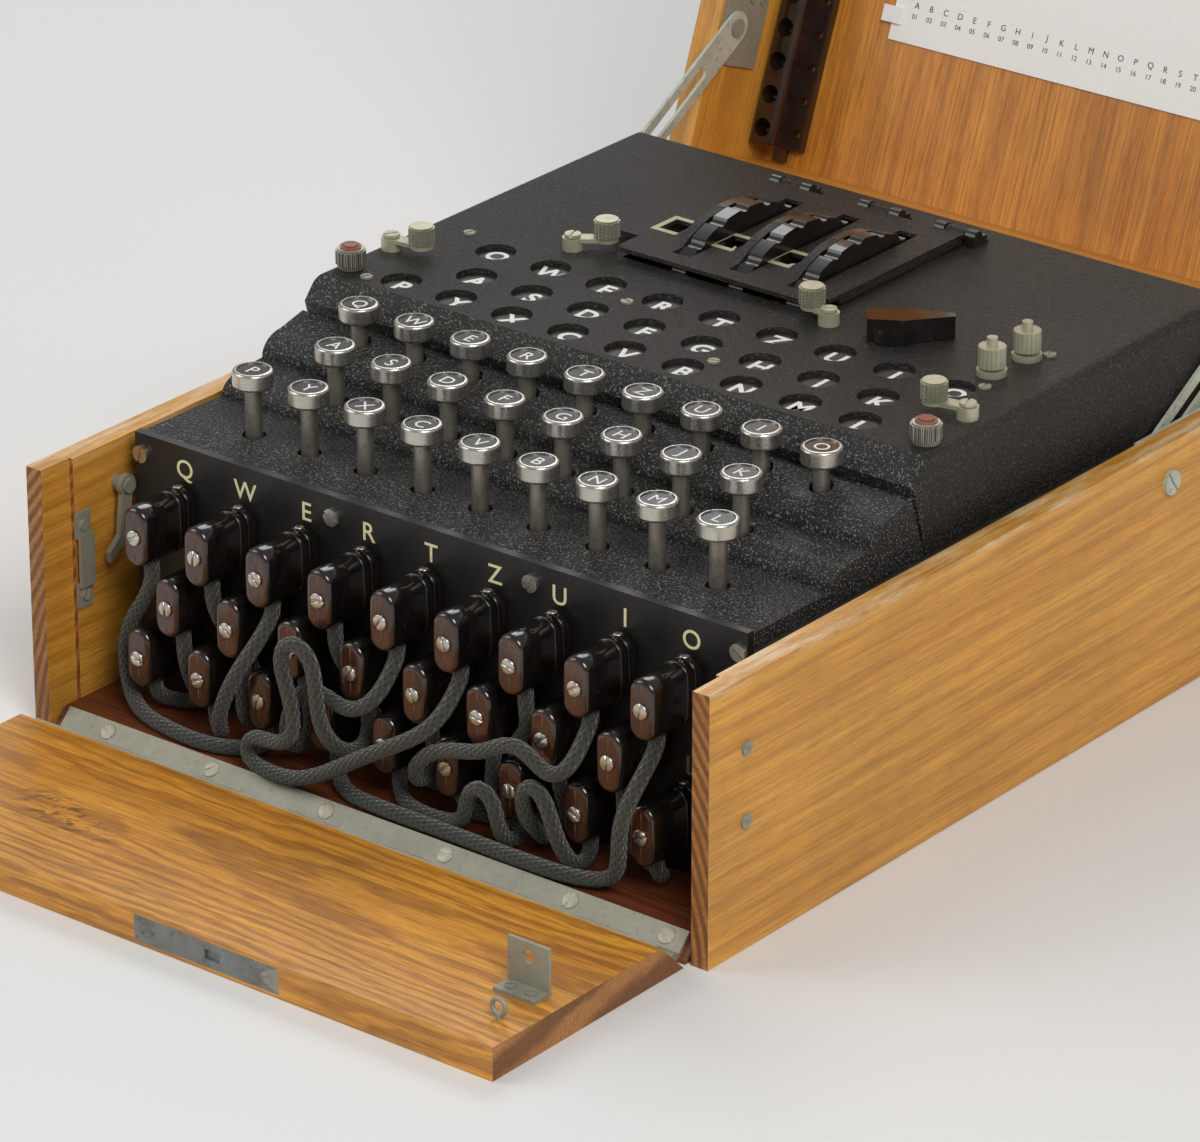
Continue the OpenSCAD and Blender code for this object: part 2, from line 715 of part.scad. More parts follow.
// Two-pin plug with a front body, a taller collar and the screw that closes it
module plug() {
    along_y(plug_front_y + 1, plug_back_y - plug_collar_t) stadium(plug_w, plug_h);
    along_y(plug_front_y, plug_front_y + 1) stadium(plug_w - 1.6, plug_h - 1.6);
    difference() {
        along_y(plug_back_y - plug_collar_t, plug_back_y) stadium(plug_w + 0.8, plug_h + 0.5);
        along_y(plug_back_y - plug_collar_t + 3, plug_back_y - plug_collar_t + 3.6) difference() {
            stadium(plug_w + 2, plug_h + 2);
            stadium(plug_w + 0.2, plug_h - 0.1);
        }
    }
    translate([0, plug_front_y, 0]) rotate([90, 0, 0]) screw_head(2.7, 1, 65);
    rod_y(pin_thin_r, plug_back_y - 0.1, panel_y + bush_len, 0, plug_pin_gap / 2);
    rod_y(pin_thick_r, plug_back_y - 0.1, panel_y + bush_len, 0, -plug_pin_gap / 2);
}

module patch_plugs() {
    color("#2a211c") from_front() at_plugs() plug();
}

// ---------- keyboard ----------

// Top line of the keyboard cover from front to back: three terraces joined by bulging steps
cover_front_y = panel_y + panel_t;
terrace_z = [95, 102, 109.5, 112.3];

function cover_line(drop) = concat(
    [[cover_front_y, terrace_z[0] - drop + 0.5], [79.5 + drop * 0.6, terrace_z[0] - drop]],
    rising_arc(80 + drop * 0.6, terrace_z[0] - drop, 10.5, 6.4),
    [[100 + drop * 0.6, terrace_z[1] - drop]],
    rising_arc(100.5 + drop * 0.6, terrace_z[1] - drop, 9.5, terrace_z[2] - terrace_z[1]),
    [[121.5, terrace_z[3] - drop]]
);

module keyboard_cover() {
    outer = concat(cover_line(0), [[fascia_top_y - 0.6, skirt_z], [cover_front_y, skirt_z]]);
    inner = concat(cover_line(sheet_t), [[fascia_top_y, terrace_z[3] - sheet_t], [fascia_top_y, skirt_z - 1],
        [cover_front_y - 1, skirt_z - 1], [cover_front_y - 1, terrace_z[0] - sheet_t]]);
    color("#23221f") from_front() difference() {
        along_x(-works_x, works_x) polygon(outer);
        along_x(-works_x + sheet_t, works_x - sheet_t) polygon(inner);
        for (row = [0:2]) for (i = [0:row_count[row] - 1])
            translate([column_x(row, i, key_pitch), key_row_y[row], 80]) cylinder(r = cover_hole_r, h = 40);
    }
}

// Ring with a glued-in disc on a stem, and a stop ring under the guide plate
module key(row, i) {
    top = key_row_top[row];
    x = column_x(row, i, key_pitch);
    disc_r = key_d / 2 - 1.3;
    foot = guide_top - guide_t - stop_h - key_travel;
    from_front() translate([x, key_row_y[row], 0]) {
        color("silver") {
            rotate_extrude() difference() {
                union() {
                    translate([0, top - key_ring_h]) square([key_d / 2 - 1, key_ring_h]);
                    translate([0, top - key_ring_h + 1]) square([key_d / 2, key_ring_h - 2]);
                    for (z = [top - key_ring_h + 1, top - 1]) translate([key_d / 2 - 1, z]) circle(r = 1, $fn = 24);
                }
                translate([0, top - 1.2]) square([disc_r, 2]);
            }
            translate([0, 0, foot])
                cylinder(r = key_stem_d / 2, h = top - key_ring_h - foot + 0.1);
            translate([0, 0, guide_top - guide_t - stop_h - clear]) cylinder(r = stop_r, h = stop_h);
        }
        color("#2b2320") translate([0, 0, top - 1.3]) cylinder(r = disc_r, h = 0.8);
    }
}

// ---------- chassis ----------

chassis_x = works_x - 8;
plate_t = 2;

module chassis() {
    x = [-chassis_x, chassis_x];
    bulkhead_y = fascia_top_y + 1.4;
    color("dimgray") from_front() difference() {
        union() {
            block(x, [46, deck_rear - 3], [floor_t, floor_t + plate_t]);
            for (side = [-1, 1]) on_side(side) {
                block([chassis_x - plate_t, chassis_x], [46, bulkhead_y], [floor_t, guide_top]);
                block([chassis_x - plate_t, chassis_x], [bulkhead_y, deck_rear - 3], [floor_t, deck_z - 24]);
            }
            block(x, [46, 46 + plate_t], [floor_t, guide_top]);
            block(x, [46, bulkhead_y], [guide_top - guide_t, guide_top]);
            block(x, [bulkhead_y, bulkhead_y + plate_t], [floor_t, deck_z - sheet_t - lamp_film_t]);
            block(x, [deck_rear - 5, deck_rear - 3], [floor_t, deck_z - 24]);
            for (cheek = cheek_list()) {
                block([cheek, cheek + cheek_t], [rotor_y - 26, rotor_y + 26], [floor_t, rotor_z]);
                rod_x(26, cheek, cheek + cheek_t, rotor_y, rotor_z);
            }
        }
        for (row = [0:2]) for (i = [0:row_count[row] - 1])
            translate([column_x(row, i, key_pitch), key_row_y[row], guide_top - guide_t - 1])
                cylinder(r = key_stem_d / 2 + running_play, h = guide_t + 2);
        rod_x(shaft_r, -chassis_x, chassis_x / 2, rotor_y, rotor_z);
    }
}

function cheek_list() = [bay_x0 - 10, bay_x1 + 1];

// ---------- top cover ----------

lamp_film_t = 1.2;

// Round-edged box of the top cover, smaller by inset on every side
module cover_body(inset) {
    top = deck_z - inset;
    w = works_w - 2 * inset;
    rise = top - skirt_z + 20;
    intersection() {
        along_y(100, deck_rear - inset) translate([0, top - rise / 2]) round_rect(w, rise, deck_edge_r - inset / 2);
        along_x(-works_x, works_x) polygon([
            [fascia_foot_y + inset * 1.2, fascia_foot_z - inset * 0.3], [fascia_top_y + inset * 1.2, top],
            [deck_rear - inset, top], [deck_rear - inset, skirt_z - inset], [fascia_top_y + inset, skirt_z - inset]
        ]);
    }
}

module top_cover() {
    color("#23221f") from_front() difference() {
        cover_body(0);
        cover_body(sheet_t);
        block([-works_x + sheet_t, works_x - sheet_t], [110, deck_rear - sheet_t], [skirt_z - 2, skirt_z + 10]);
        block([bay_x0, bay_x1], [bay_y0, bay_y1], [deck_z - 10, deck_z + 1]);
        at_lamps() translate([0, 0, deck_z - 5]) cylinder(r = lamp_d / 2, h = 10);
    }
}

module at_lamps() {
    for (row = [0:2]) for (i = [0:row_count[row] - 1])
        translate([column_x(row, i, lamp_pitch) + lamp_row_shift[row], lamp_row_y[row], 0]) children();
}

module lamp_film() {
    reach = 4 * lamp_pitch + lamp_d;
    color("#3a3733") from_front()
        block([-reach, reach], [fascia_top_y + 1.2 * sheet_t + clear, lamp_row_y[2] + lamp_d / 2 + 3],
            [deck_z - sheet_t - lamp_film_t, deck_z - sheet_t]);
}

// Small fixed pieces on the deck: flush screws, binding posts and the rotor cover's hinge blocks
deck_screws = [
    [-107.7, 187.4], [107.6, 186.5], [108.6, 221.4], [-109.2, 135.1], [113.5, 143.3], [-27.4, 171.8], [26.4, 149]
];
post_place = [[works_x - 23.2, 196.9], [works_x - 22.1, 215]];
hinge_block_x = [-44, -6, 26];
hinge_ear_w = 4;
hinge_ear_gap = 9;

module deck_fittings() {
    color("lightgray") from_front() {
        for (p = deck_screws) translate([p[0], p[1], deck_z]) screw_head(2.1, 0.7, p[0]);
        for (p = post_place) translate([p[0], p[1], deck_z]) {
            cylinder(r = 5, h = 2);
            cylinder(r = 1.8, h = 13);
            translate([0, 0, 3]) nut();
        }
        deck_pins();
    }
    color("#1c1a19") from_front() for (x = hinge_block_x) hinge_block(x);
}

// Knurled round nut on a binding post
module nut() {
    difference() {
        cylinder(r = 4.6, h = 7);
        translate([0, 0, -1]) cylinder(r = 1.8 + eps, h = 9);
        for (a = [0:20:340]) rotate([0, 0, a]) translate([4.7, 0, -1]) cylinder(r = 0.45, h = 9, $fn = 16);
    }
}

// Two ears with the pin that the rotor cover turns on
module hinge_block(x) {
    w = hinge_ear_gap / 2 + hinge_ear_w;
    difference() {
        union() {
            block([x - w, x + w], [rotor_hinge_y - 3, rotor_hinge_y + 6], [deck_z, deck_z + 1]);
            for (s = [-1, 1]) {
                x0 = x + s * (hinge_ear_gap + hinge_ear_w) / 2 - hinge_ear_w / 2;
                block([x0, x0 + hinge_ear_w], [rotor_hinge_y - 2.5, rotor_hinge_y + 5], [deck_z, rotor_hinge_z]);
                rod_x(2.5, x0, x0 + hinge_ear_w, rotor_hinge_y, rotor_hinge_z);
            }
        }
    }
    rod_x(1.2, x - w, x + w, rotor_hinge_y, rotor_hinge_z);
}

// ---------- rotor cover ----------

function wheel_x(n) = first_wheel_x + n * rotor_pitch;

window_y = 228;

module rotor_cover() {
    z = [rotor_cover_z, rotor_cover_top];
    corner = 12; // room for the left-hand latch knob
    color("#23221f") from_front() {
        difference() {
            union() {
                block([rotor_cover_x0, rotor_cover_x1], [rotor_cover_y0, rotor_cover_y1], z);
                for (x = [rotor_cover_x0, rotor_cover_x1 - 1.5])
                    block([x, x + 1.5], [rotor_cover_y0 + corner, rotor_cover_y1], [z[0] - 2, z[1]]);
                for (n = [0:2]) fender(wheel_x(n));
                for (x = hinge_block_x) cover_knuckle(x);
            }
            block([rotor_cover_x0 - 1, rotor_cover_x0 + corner], [rotor_cover_y0 - 1, rotor_cover_y0 + corner],
                [z[0] - 3, z[1] + 1]);
            block([rotor_cover_x1 - 8, rotor_cover_x1 + 1], [rotor_cover_y0 - 1, rotor_cover_y0 + 6], [z[0] - 3, z[1] + 1]);
            for (n = [0:2]) {
                block([wheel_x(n) - wheel_w / 2 - 1, wheel_x(n) + wheel_w / 2 + 1], [rotor_y - 32, rotor_y + 32], [z[0] - 1, z[1] + 20]);
                block([wheel_x(n) - 21, wheel_x(n) - 13], [window_y - 5, window_y + 5], [z[0] - 1, z[1] + 1]);
            }
            for (x = hinge_block_x) rod_x(1.2 + running_play, x - 6, x + 6, rotor_hinge_y, rotor_hinge_z);
        }
    }
}

// Arched hood on the left of a finger wheel's slot
module fender(x) {
    intersection() {
        rod_x(wheel_r - 0.5, x - wheel_w / 2 - 4.6, x - wheel_w / 2 - 1, rotor_y, rotor_z);
        block([x - 10, x + 1], [rotor_y - 40, rotor_y + 40], [rotor_cover_z + eps, rotor_cover_top + 20]);
    }
}

module cover_knuckle(x) {
    w = hinge_ear_gap / 2 - clear;
    rod_x(2, x - w, x + w, rotor_hinge_y, rotor_hinge_z);
    block([x - w, x + w], [rotor_cover_y1 - 1, rotor_hinge_y], [rotor_cover_z, rotor_cover_top]);
}

// ---------- rotors ----------

// One rotor: drum, letter ring, ratchet and notched finger wheel, turning on the shaft
module rotor(n) {
    x = wheel_x(n);
    left = x + rotor_left;
    right = left + rotor_w;
    notch_r = 3;
    color("#1c1a19") from_front() difference() {
        union() {
            rod_x(drum_r, left + 3, left + 11, rotor_y, rotor_z);
            rod_x(drum_r - 5, left, right, rotor_y, rotor_z);
            rod_x(drum_r - 2, left + 13, right - 2, rotor_y, rotor_z);
            rod_x(wheel_r, x - wheel_w / 2, x + wheel_w / 2, rotor_y, rotor_z);
        }
        rod_x(shaft_r + running_play, left - 1, right + 1, rotor_y, rotor_z);
        for (i = [0:wheel_notches - 1]) translate([0, rotor_y, rotor_z]) rotate([i * 360 / wheel_notches, 0, 0])
            rod_x(notch_r, x - wheel_w, x + wheel_w, 0, wheel_r + notch_r - 1.3);
        rod_x(drum_r - 12, right - 1, right + 1, rotor_y, rotor_z);
    }
}

module rotor_1() { rotor(0); }
module rotor_2() { rotor(1); }
module rotor_3() { rotor(2); }

// Shaft with the fixed reflector at the left and the entry wheel at the right
module rotor_shaft() {
    cheeks = cheek_list();
    left = wheel_x(0) + rotor_left;
    right = wheel_x(2) + rotor_left + rotor_w;
    color("silver") from_front() {
        rod_x(shaft_r - eps, cheeks[0] - 3, cheeks[1] + cheek_t + 3, rotor_y, rotor_z);
    }
    color("#1c1a19") from_front() {
        for (x = [[cheeks[0] + cheek_t, left - 1.5], [right + 1.5, cheeks[1]]]) difference() {
            rod_x(fixed_wheel_r, x[0], x[1], rotor_y, rotor_z);
            rod_x(shaft_r, x[0] - 1, x[1] + 1, rotor_y, rotor_z);
        }
    }
}

// ---------- latches, screws and switch ----------

latch_arm_t = 1.4;
latch_lift = 3;
latch_pivot = [[-works_x + 6.6, 160.2], [-71.5, 198.2], [36.1, 198.4], [works_x - 8.1, 162.6]];
latch_knob = [[-works_x + 18.7, 161.6], [-62.5, 205.4], [27.6, 200.5], [works_x - 19.9, 160.5]];

// Turning arm with a knurled knob at its end
module latch(n) {
    d = latch_knob[n] - latch_pivot[n];
    reach = norm(d);
    color("ivory") from_front() translate([latch_pivot[n][0], latch_pivot[n][1], deck_z]) rotate([0, 0, atan2(d[1], d[0])]) {
        difference() {
            union() {
                cylinder(r = 3.6, h = latch_lift + latch_arm_t);
                translate([0, -2.6, latch_lift]) cube([reach, 5.2, latch_arm_t]);
                translate([reach, 0, latch_lift]) knob(4.5, 8);
            }
            translate([0, 0, -1]) cylinder(r = 1.5 + running_play, h = 20);
        }
    }
}

// Knurled knob with a plain collar
module knob(r, h) {
    cylinder(r = r - 0.6, h = h);
    difference() {
        translate([0, 0, 1.6]) cylinder(r = r, h = h - 2.2);
        for (a = [0:20:340]) rotate([0, 0, a]) translate([r + 0.15, 0, 0]) cylinder(r = 0.5, h = h + 1, $fn = 16);
    }
}

module latch_1() { latch(0); }
module latch_2() { latch(1); }
module latch_3() { latch(2); }
module latch_4() { latch(3); }

// Round knurled screw with a red cap that holds the top cover down
screw_place = [[-works_x + 7, 138.5], [works_x - 7, 138.5]];

module thumb_screw(n) {
    from_front() translate([screw_place[n][0], screw_place[n][1], deck_z]) {
        color("silver") difference() {
            union() {
                cylinder(r = 3.4, h = 3);
                translate([0, 0, clear]) knob(5.2, 7);
            }
            translate([0, 0, -1]) cylinder(r = 1.6 + running_play, h = 6);
        }
        color("firebrick") translate([0, 0, 7 + clear]) {
            cylinder(r = 3.6, h = 0.8);
            cylinder(r = 2.6, h = 1.4);
        }
    }
}

module thumb_screw_left() { thumb_screw(0); }
module thumb_screw_right() { thumb_screw(1); }

// Wedge-shaped pointer knob that turns on its spindle
switch_place = [60, 202];
switch_turn = 38;

module power_switch() {
    color("#1c1a19") from_front() translate([switch_place[0], switch_place[1], deck_z + clear]) difference() {
        union() {
            cylinder(r = 8, h = 5);
            rotate([0, 0, switch_turn]) {
                linear_extrude(8) polygon([[-9, -4], [-9, 4], [3, 5.5], [20, 1.5], [20, -1.5], [3, -5.5]]);
            }
        }
        translate([0, 0, -1]) cylinder(r = 2 + running_play, h = 6);
    }
}

// Pins in the deck that the latches, the switch and the thumb screws turn on
module deck_pins() {
    for (p = latch_pivot) translate([p[0], p[1], deck_z]) {
        cylinder(r = 1.5, h = latch_lift + latch_arm_t + clear);
        translate([0, 0, latch_lift + latch_arm_t + clear]) screw_head(2.8, 1, p[0]);
    }
    for (p = screw_place) translate([p[0], p[1], deck_z]) cylinder(r = 1.6, h = 4.5);
    translate([switch_place[0], switch_place[1], deck_z]) cylinder(r = 2, h = 4.5);
}

// ---------- patch cords ----------

function plug_exit(row, i) = [column_x(row, i, plug_pitch), plug_exit_y, plug_z(row) - plug_h / 2];

// One cord: from plug [row, place], through its points, to plug [row, place]
function cord_end(place) = [for (z = [4, 0, -4]) plug_exit(place[0], place[1]) + [0, 0, z]];
function cord_points(c) = let (far = cord_end(c[2])) concat(cord_end(c[0]), c[1], [far[2], far[1], far[0]]);

cords = [
    // down the left end and forward along the floor
    [[2, 0], [[-104.4, 20, 55], [-107.5, 20, 48], [-112.5, 20, 41], [-116.5, 20, 33], [-117, 19.5, 24],
        [-114.5, 18, 16], [-109, 15, 11.3], [-101, 12, 10], [-92, 10, 10], [-82, 8.5, 10], [-72.5, 8.5, 10],
        [-64.5, 11, 10], [-58.5, 15.3, 10], [-54, 18.7, 11.5]], [0, 2]],
    // short hops behind the fronts
    [[1, 0], [[-91.4, 20.5, 30], [-91, 23, 22], [-91.5, 27, 15], [-95, 30, 10.5], [-100.2, 28.5, 10],
        [-103.4, 24, 11.3]], [0, 0]],
    [[2, 1], [[-78.3, 20.5, 54.5], [-77.8, 22, 49], [-74.8, 23.5, 44.3], [-70.6, 24.5, 39.5], [-68.6, 27, 33],
        [-68.2, 30.5, 26], [-67, 31, 18.5], [-65.6, 26.5, 14.5], [-65.2, 20.5, 16], [-65.2, 18.6, 22], [-65.2, 19.6, 29]], [1, 1]],
    [[2, 6], [[52.2, 20.5, 54.5], [51.6, 22, 49], [48.7, 23.5, 44.3], [44.5, 24.5, 39.5], [42.5, 27, 33],
        [42.1, 30.3, 26.5], [41, 30.5, 20], [39.7, 26.5, 16.5], [39.2, 20.5, 17], [39.2, 18.6, 23], [39.2, 19.6, 29.5]], [1, 5]],
    [[1, 7], [[91.4, 20.5, 30], [91, 23, 22], [91.5, 27, 15], [95, 30, 10.5], [100.2, 28.5, 10],
        [103.4, 24, 11.3]], [0, 8]],
    // slanting across two columns to the lowest row
    [[2, 2], [[-52.6, 17.5, 54.5], [-54, 12, 48], [-57, 7.8, 41], [-60.5, 6.5, 33.5], [-64, 7, 26], [-67.3, 9.5, 19.5],
        [-69.8, 13, 14.5], [-72.3, 16.4, 11.2], [-76, 18.9, 11]], [0, 1]],
    // to the left over the fronts, and up again below its neighbour but one
    [[2, 4], [[0.2, 17, 54.5], [-0.5, 11.5, 48], [-5, 8.7, 42.5], [-12, 8.6, 40], [-19, 8.8, 42], [-26, 8.8, 43.5],
        [-32, 8.5, 40], [-35.8, 8.6, 33], [-38, 9, 25.5], [-39, 11.8, 18.7], [-39.2, 17, 15.6], [-39.2, 22, 18.5],
        [-39.2, 22.8, 25], [-39.2, 21.2, 31]], [1, 2]],
    // the long one, which runs down to the strip, turns back and loops up
    [[2, 5], [[26.1, 17, 54.5], [25.6, 11, 48.3], [22, 6, 43], [15.5, 3.6, 38.7], [7.5, 3.1, 34], [-1, 3, 28.7],
        [-10, 3, 22.8], [-19, 3, 17], [-28, 3, 12.8], [-37, 3.2, 11.3], [-45.5, 4.3, 11.3], [-51.5, 5.5, 12.5],
        [-52.5, 6, 17.5], [-48, 5.5, 21.5], [-40.5, 4.2, 22], [-33.2, 3.2, 23.8], [-29.3, 3, 29.5], [-29.8, 3, 37.5],
        [-32.5, 3, 45.5], [-35, 3, 53], [-33, 3.2, 59.5], [-27, 3.5, 60.8], [-22, 3.8, 56], [-20, 3.1, 48.5],
        [-19.4, 3, 40.5], [-18.2, 3.9, 32.5], [-15.6, 7.5, 25.8], [-13.6, 13.3, 22.7], [-13.1, 19.2, 24], [-13.1, 21.2, 30]], [1, 3]],
    // behind all the others, along the floor
    [[2, 3], [[-26.1, 20.5, 54.5], [-25.6, 22, 49], [-22.6, 23.5, 44.3], [-18.4, 24.5, 39.5], [-16.2, 26.5, 32],
        [-15, 29, 24.5], [-12, 31, 17.5], [-6, 32.5, 12.2], [2, 33, 10], [13, 33, 10], [24, 33, 10],
        [35, 33, 10], [46, 33, 10], [55, 32.3, 11.5], [61, 29.5, 16], [64.3, 25.5, 22.5], [65.2, 21.5, 29.5]], [1, 6]],
    // down the right end and far to the left along the floor
    [[2, 8], [[104.4, 17, 54.5], [103.8, 11, 48], [101.8, 7.5, 40.5], [100.2, 6.5, 32.5], [99.5, 7.3, 24.5],
        [97.5, 9.3, 17], [92.5, 11, 11.8], [85, 9, 10.4], [76, 6.8, 10.8], [67, 6.6, 10.8], [58, 6.5, 10.8], [49, 6.6, 10.8],
        [39, 7.2, 10.6], [29, 7.6, 10.4], [19, 7.2, 10.6], [9, 7.2, 10.6], [-1, 8, 10.3], [-10, 9, 10], [-17.5, 12.3, 10],
        [-22.8, 17, 11]], [0, 3]],
    // in waves over the fronts
    [[2, 7], [[78.5, 17, 54.8], [78.8, 11.3, 49], [76.3, 8, 44.3], [71, 7.3, 43], [65.7, 7.3, 46.5], [59.5, 7.3, 49.7],
        [53, 7.4, 48], [47, 7.6, 44], [40.5, 7.8, 41.3], [33, 8, 39.8], [26, 8.4, 37.3], [20, 8.2, 33.5],
        [15.6, 9, 27.5], [13.4, 12.6, 21.8], [13.1, 18, 19.5], [13.1, 22.2, 23.3], [13.1, 22.2, 30]], [1, 4]],
    // with a small loop up before the lowest row
    [[0, 4], [[2, 18.6, 11.4], [6, 15.6, 10], [13, 13.8, 10], [21, 13.6, 10], [28.5, 13.3, 11], [34, 11.5, 15],
        [37, 8.8, 21], [39.5, 7.2, 27.5], [44.3, 6.8, 31.3], [49.3, 7, 28], [50.6, 7.6, 21], [50.2, 10, 15],
        [50.6, 14, 11], [51.7, 18.4, 11.2]], [0, 6]],
    [[0, 7], [[78.1, 18.7, 11.3], [77.4, 14.6, 10.8], [75.6, 11, 14], [73.7, 7.8, 23], [72.3, 7, 30], [69, 7, 36.3],
        [64, 7, 37.8], [60.5, 7.5, 33], [60, 9.5, 25.5], [60.8, 13.5, 18.8], [60.3, 19, 13.2], [57, 24.5, 10.5],
        [50.5, 26.8, 10], [43.5, 26.8, 10], [37, 26.3, 10], [31.3, 24, 10.3], [27.9, 21.4, 12]], [0, 5]]
];

cord_sides = 8;
cord_steps = 2; // rings for each stretch between two points

// Smooth curve that the points p pull along; it starts and ends on its last point but one
function curve_point(a, b, c, d, t) = (
    pow(1 - t, 3) * a + (3 * pow(t, 3) - 6 * t * t + 4) * b
    + (-3 * pow(t, 3) + 3 * t * t + 3 * t + 1) * c + pow(t, 3) * d
) / 6;
function curve(p) = concat(
    [for (i = [1:len(p) - 3]) for (k = [0:cord_steps - 1])
        curve_point(p[i - 1], p[i], p[i + 1], p[i + 2], k / cord_steps)],
    [p[len(p) - 2]]
);

function unit(v) = v / norm(v);
function tangent(q, i) = i == 0 || i == len(q) - 1 ? [0, 0, i == 0 ? -1 : 1] : unit(q[i + 1] - q[i - 1]);
function square_to(v, t) = unit(v - (v * t) * t);
// Side vectors carried along the curve without twist
function sides(q, i = 0, last = [1, 0, 0], done = []) =
    i == len(q) ? done : let (s = square_to(last, tangent(q, i))) sides(q, i + 1, s, concat(done, [s]));

module tube(q, r) {
    n = len(q);
    m = cord_sides;
    s = sides(q);
    points = [for (i = [0:n - 1]) let (t = tangent(q, i), u = s[i], v = cross(t, u))
        for (k = [0:m - 1]) q[i] + r * (cos(360 * k / m) * u + sin(360 * k / m) * v)];
    walls = [for (i = [0:n - 2]) for (k = [0:m - 1]) let (a = i * m + k, b = i * m + (k + 1) % m)
        each [[a, a + m, b + m], [a, b + m, b]]];
    first = [for (k = [1:m - 2]) [0, k, k + 1]];
    last = [for (k = [1:m - 2]) [(n - 1) * m, (n - 1) * m + k + 1, (n - 1) * m + k]];
    polyhedron(points, concat(walls, first, last));
}

module patch_cords() {
    color("#3c3f33") from_front() for (c = cords) tube(curve(cord_points(c)), cord_r);
}

// ---------- the machine ----------

case_floor();
case_walls();
case_fittings();
flap_board();
flap_fittings();
hook_left();
hook_right();
lid_frame();
lid_panel();
lid_fittings();
stay_left();
stay_right();
spare_lamp_holder();
lid_card();
plugboard_panel();
patch_plugs();
patch_cords();
keyboard_cover();
chassis();
top_cover();
lamp_film();
deck_fittings();
rotor_cover();
rotor_1();
rotor_2();
rotor_3();
rotor_shaft();
latch_1();
latch_2();
latch_3();
latch_4();
power_switch();
thumb_screw_left();
thumb_screw_right();
for (row = [0:2]) for (i = [0:row_count[row] - 1])
    key(row, i);
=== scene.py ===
import math

import bmesh
import bpy
from mathutils import Matrix, Vector


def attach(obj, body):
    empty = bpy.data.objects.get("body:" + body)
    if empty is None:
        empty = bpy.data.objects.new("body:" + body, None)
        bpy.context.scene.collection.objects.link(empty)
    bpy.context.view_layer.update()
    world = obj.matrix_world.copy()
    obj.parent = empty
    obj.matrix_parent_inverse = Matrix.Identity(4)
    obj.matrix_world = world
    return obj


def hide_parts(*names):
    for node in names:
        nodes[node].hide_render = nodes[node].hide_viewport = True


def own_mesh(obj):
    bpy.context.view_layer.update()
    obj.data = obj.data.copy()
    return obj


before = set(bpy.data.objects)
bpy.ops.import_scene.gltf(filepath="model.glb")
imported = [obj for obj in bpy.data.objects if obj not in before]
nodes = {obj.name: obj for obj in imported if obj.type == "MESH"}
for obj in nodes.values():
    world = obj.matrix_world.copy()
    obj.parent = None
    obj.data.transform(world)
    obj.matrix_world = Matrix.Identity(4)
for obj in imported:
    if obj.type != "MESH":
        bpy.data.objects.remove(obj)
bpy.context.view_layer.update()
caseFront = -0.166  # the front ends of the side walls


def at(x, back, up):
    return Vector((x * 0.001, back * 0.001 + caseFront, up * 0.001))


view = {"place": (1.2457, -1.6090, 0.9591), "turn": (65.6, 0.0, 38.5), "lens": 200.88}

cameraData = bpy.data.cameras.new("camera")
cameraData.lens = view["lens"]
cameraData.sensor_width = 36
cameraData.clip_end = 50
camera = bpy.data.objects.new("camera", cameraData)
camera.location = view["place"]
camera.rotation_euler = [math.radians(angle) for angle in view["turn"]]
bpy.context.scene.collection.objects.link(camera)
bpy.context.scene.camera = camera
bpy.context.scene.view_settings.view_transform = "Standard"


def addNode(tree, kind, sockets=None, **settings):
    node = tree.nodes.new("ShaderNode" + kind)
    for key, value in settings.items():
        setattr(node, key, value)
    for key, value in (sockets or {}).items():
        if isinstance(value, bpy.types.NodeSocket):
            tree.links.new(value, node.inputs[key])
        else:
            node.inputs[key].default_value = value
    return node


def newFinish(name, base, rough=0.5, metal=0.0, coat=0.0, coatRough=0.1, gloss=0.5):
    material = bpy.data.materials.new(name)
    material.use_nodes = True
    tree = material.node_tree
    shader = tree.nodes["Principled BSDF"]
    shader.inputs["Base Color"].default_value = (*base, 1)
    shader.inputs["Roughness"].default_value = rough
    shader.inputs["Metallic"].default_value = metal
    shader.inputs["Coat Weight"].default_value = coat
    shader.inputs["Coat Roughness"].default_value = coatRough
    shader.inputs["Specular IOR Level"].default_value = gloss
    material.diffuse_color = (*base, 1)
    return material, tree, shader


def pattern(tree, size, turn=(0, 0, 0), shift=(0, 0, 0)):
    # lengths of the pattern along its own axes, in metres
    where = addNode(tree, "TexCoord").outputs["Object"]
    return addNode(tree, "Mapping", {"Vector": where, "Scale": size, "Rotation": turn, "Location": shift},
                   vector_type="TEXTURE").outputs[0]


def noise(tree, size, turn=(0, 0, 0), detail=2.0, rough=0.5, distortion=0.0, shift=(0, 0, 0)):
    place = pattern(tree, size, turn, shift)
    return addNode(tree, "TexNoise", {"Vector": place, "Scale": 1.0, "Detail": detail, "Roughness": rough,
                                      "Distortion": distortion}).outputs["Fac"]


def ramp(tree, fac, stops):
    node = addNode(tree, "ValToRGB", {"Fac": fac})
    bar = node.color_ramp
    while len(bar.elements) < len(stops):
        bar.elements.new(0.5)
    for element, (where, colour) in zip(bar.elements, stops):
        element.position = where
        element.color = (*colour, 1) if isinstance(colour, (tuple, list)) else (colour, colour, colour, 1)
    return node.outputs["Color"]


def solid(colour):
    return colour if isinstance(colour, bpy.types.NodeSocket) else (*colour, 1)


def blendTo(tree, fac, under, over, how="MIX"):
    # sockets 0, 6 and 7 hold the share and the two colours
    return addNode(tree, "Mix", {0: fac, 6: solid(under), 7: solid(over)},
                   data_type="RGBA", blend_type=how).outputs[2]


def calc(tree, how, a, b=0.0):
    return addNode(tree, "Math", {0: a, 1: b}, operation=how).outputs[0]


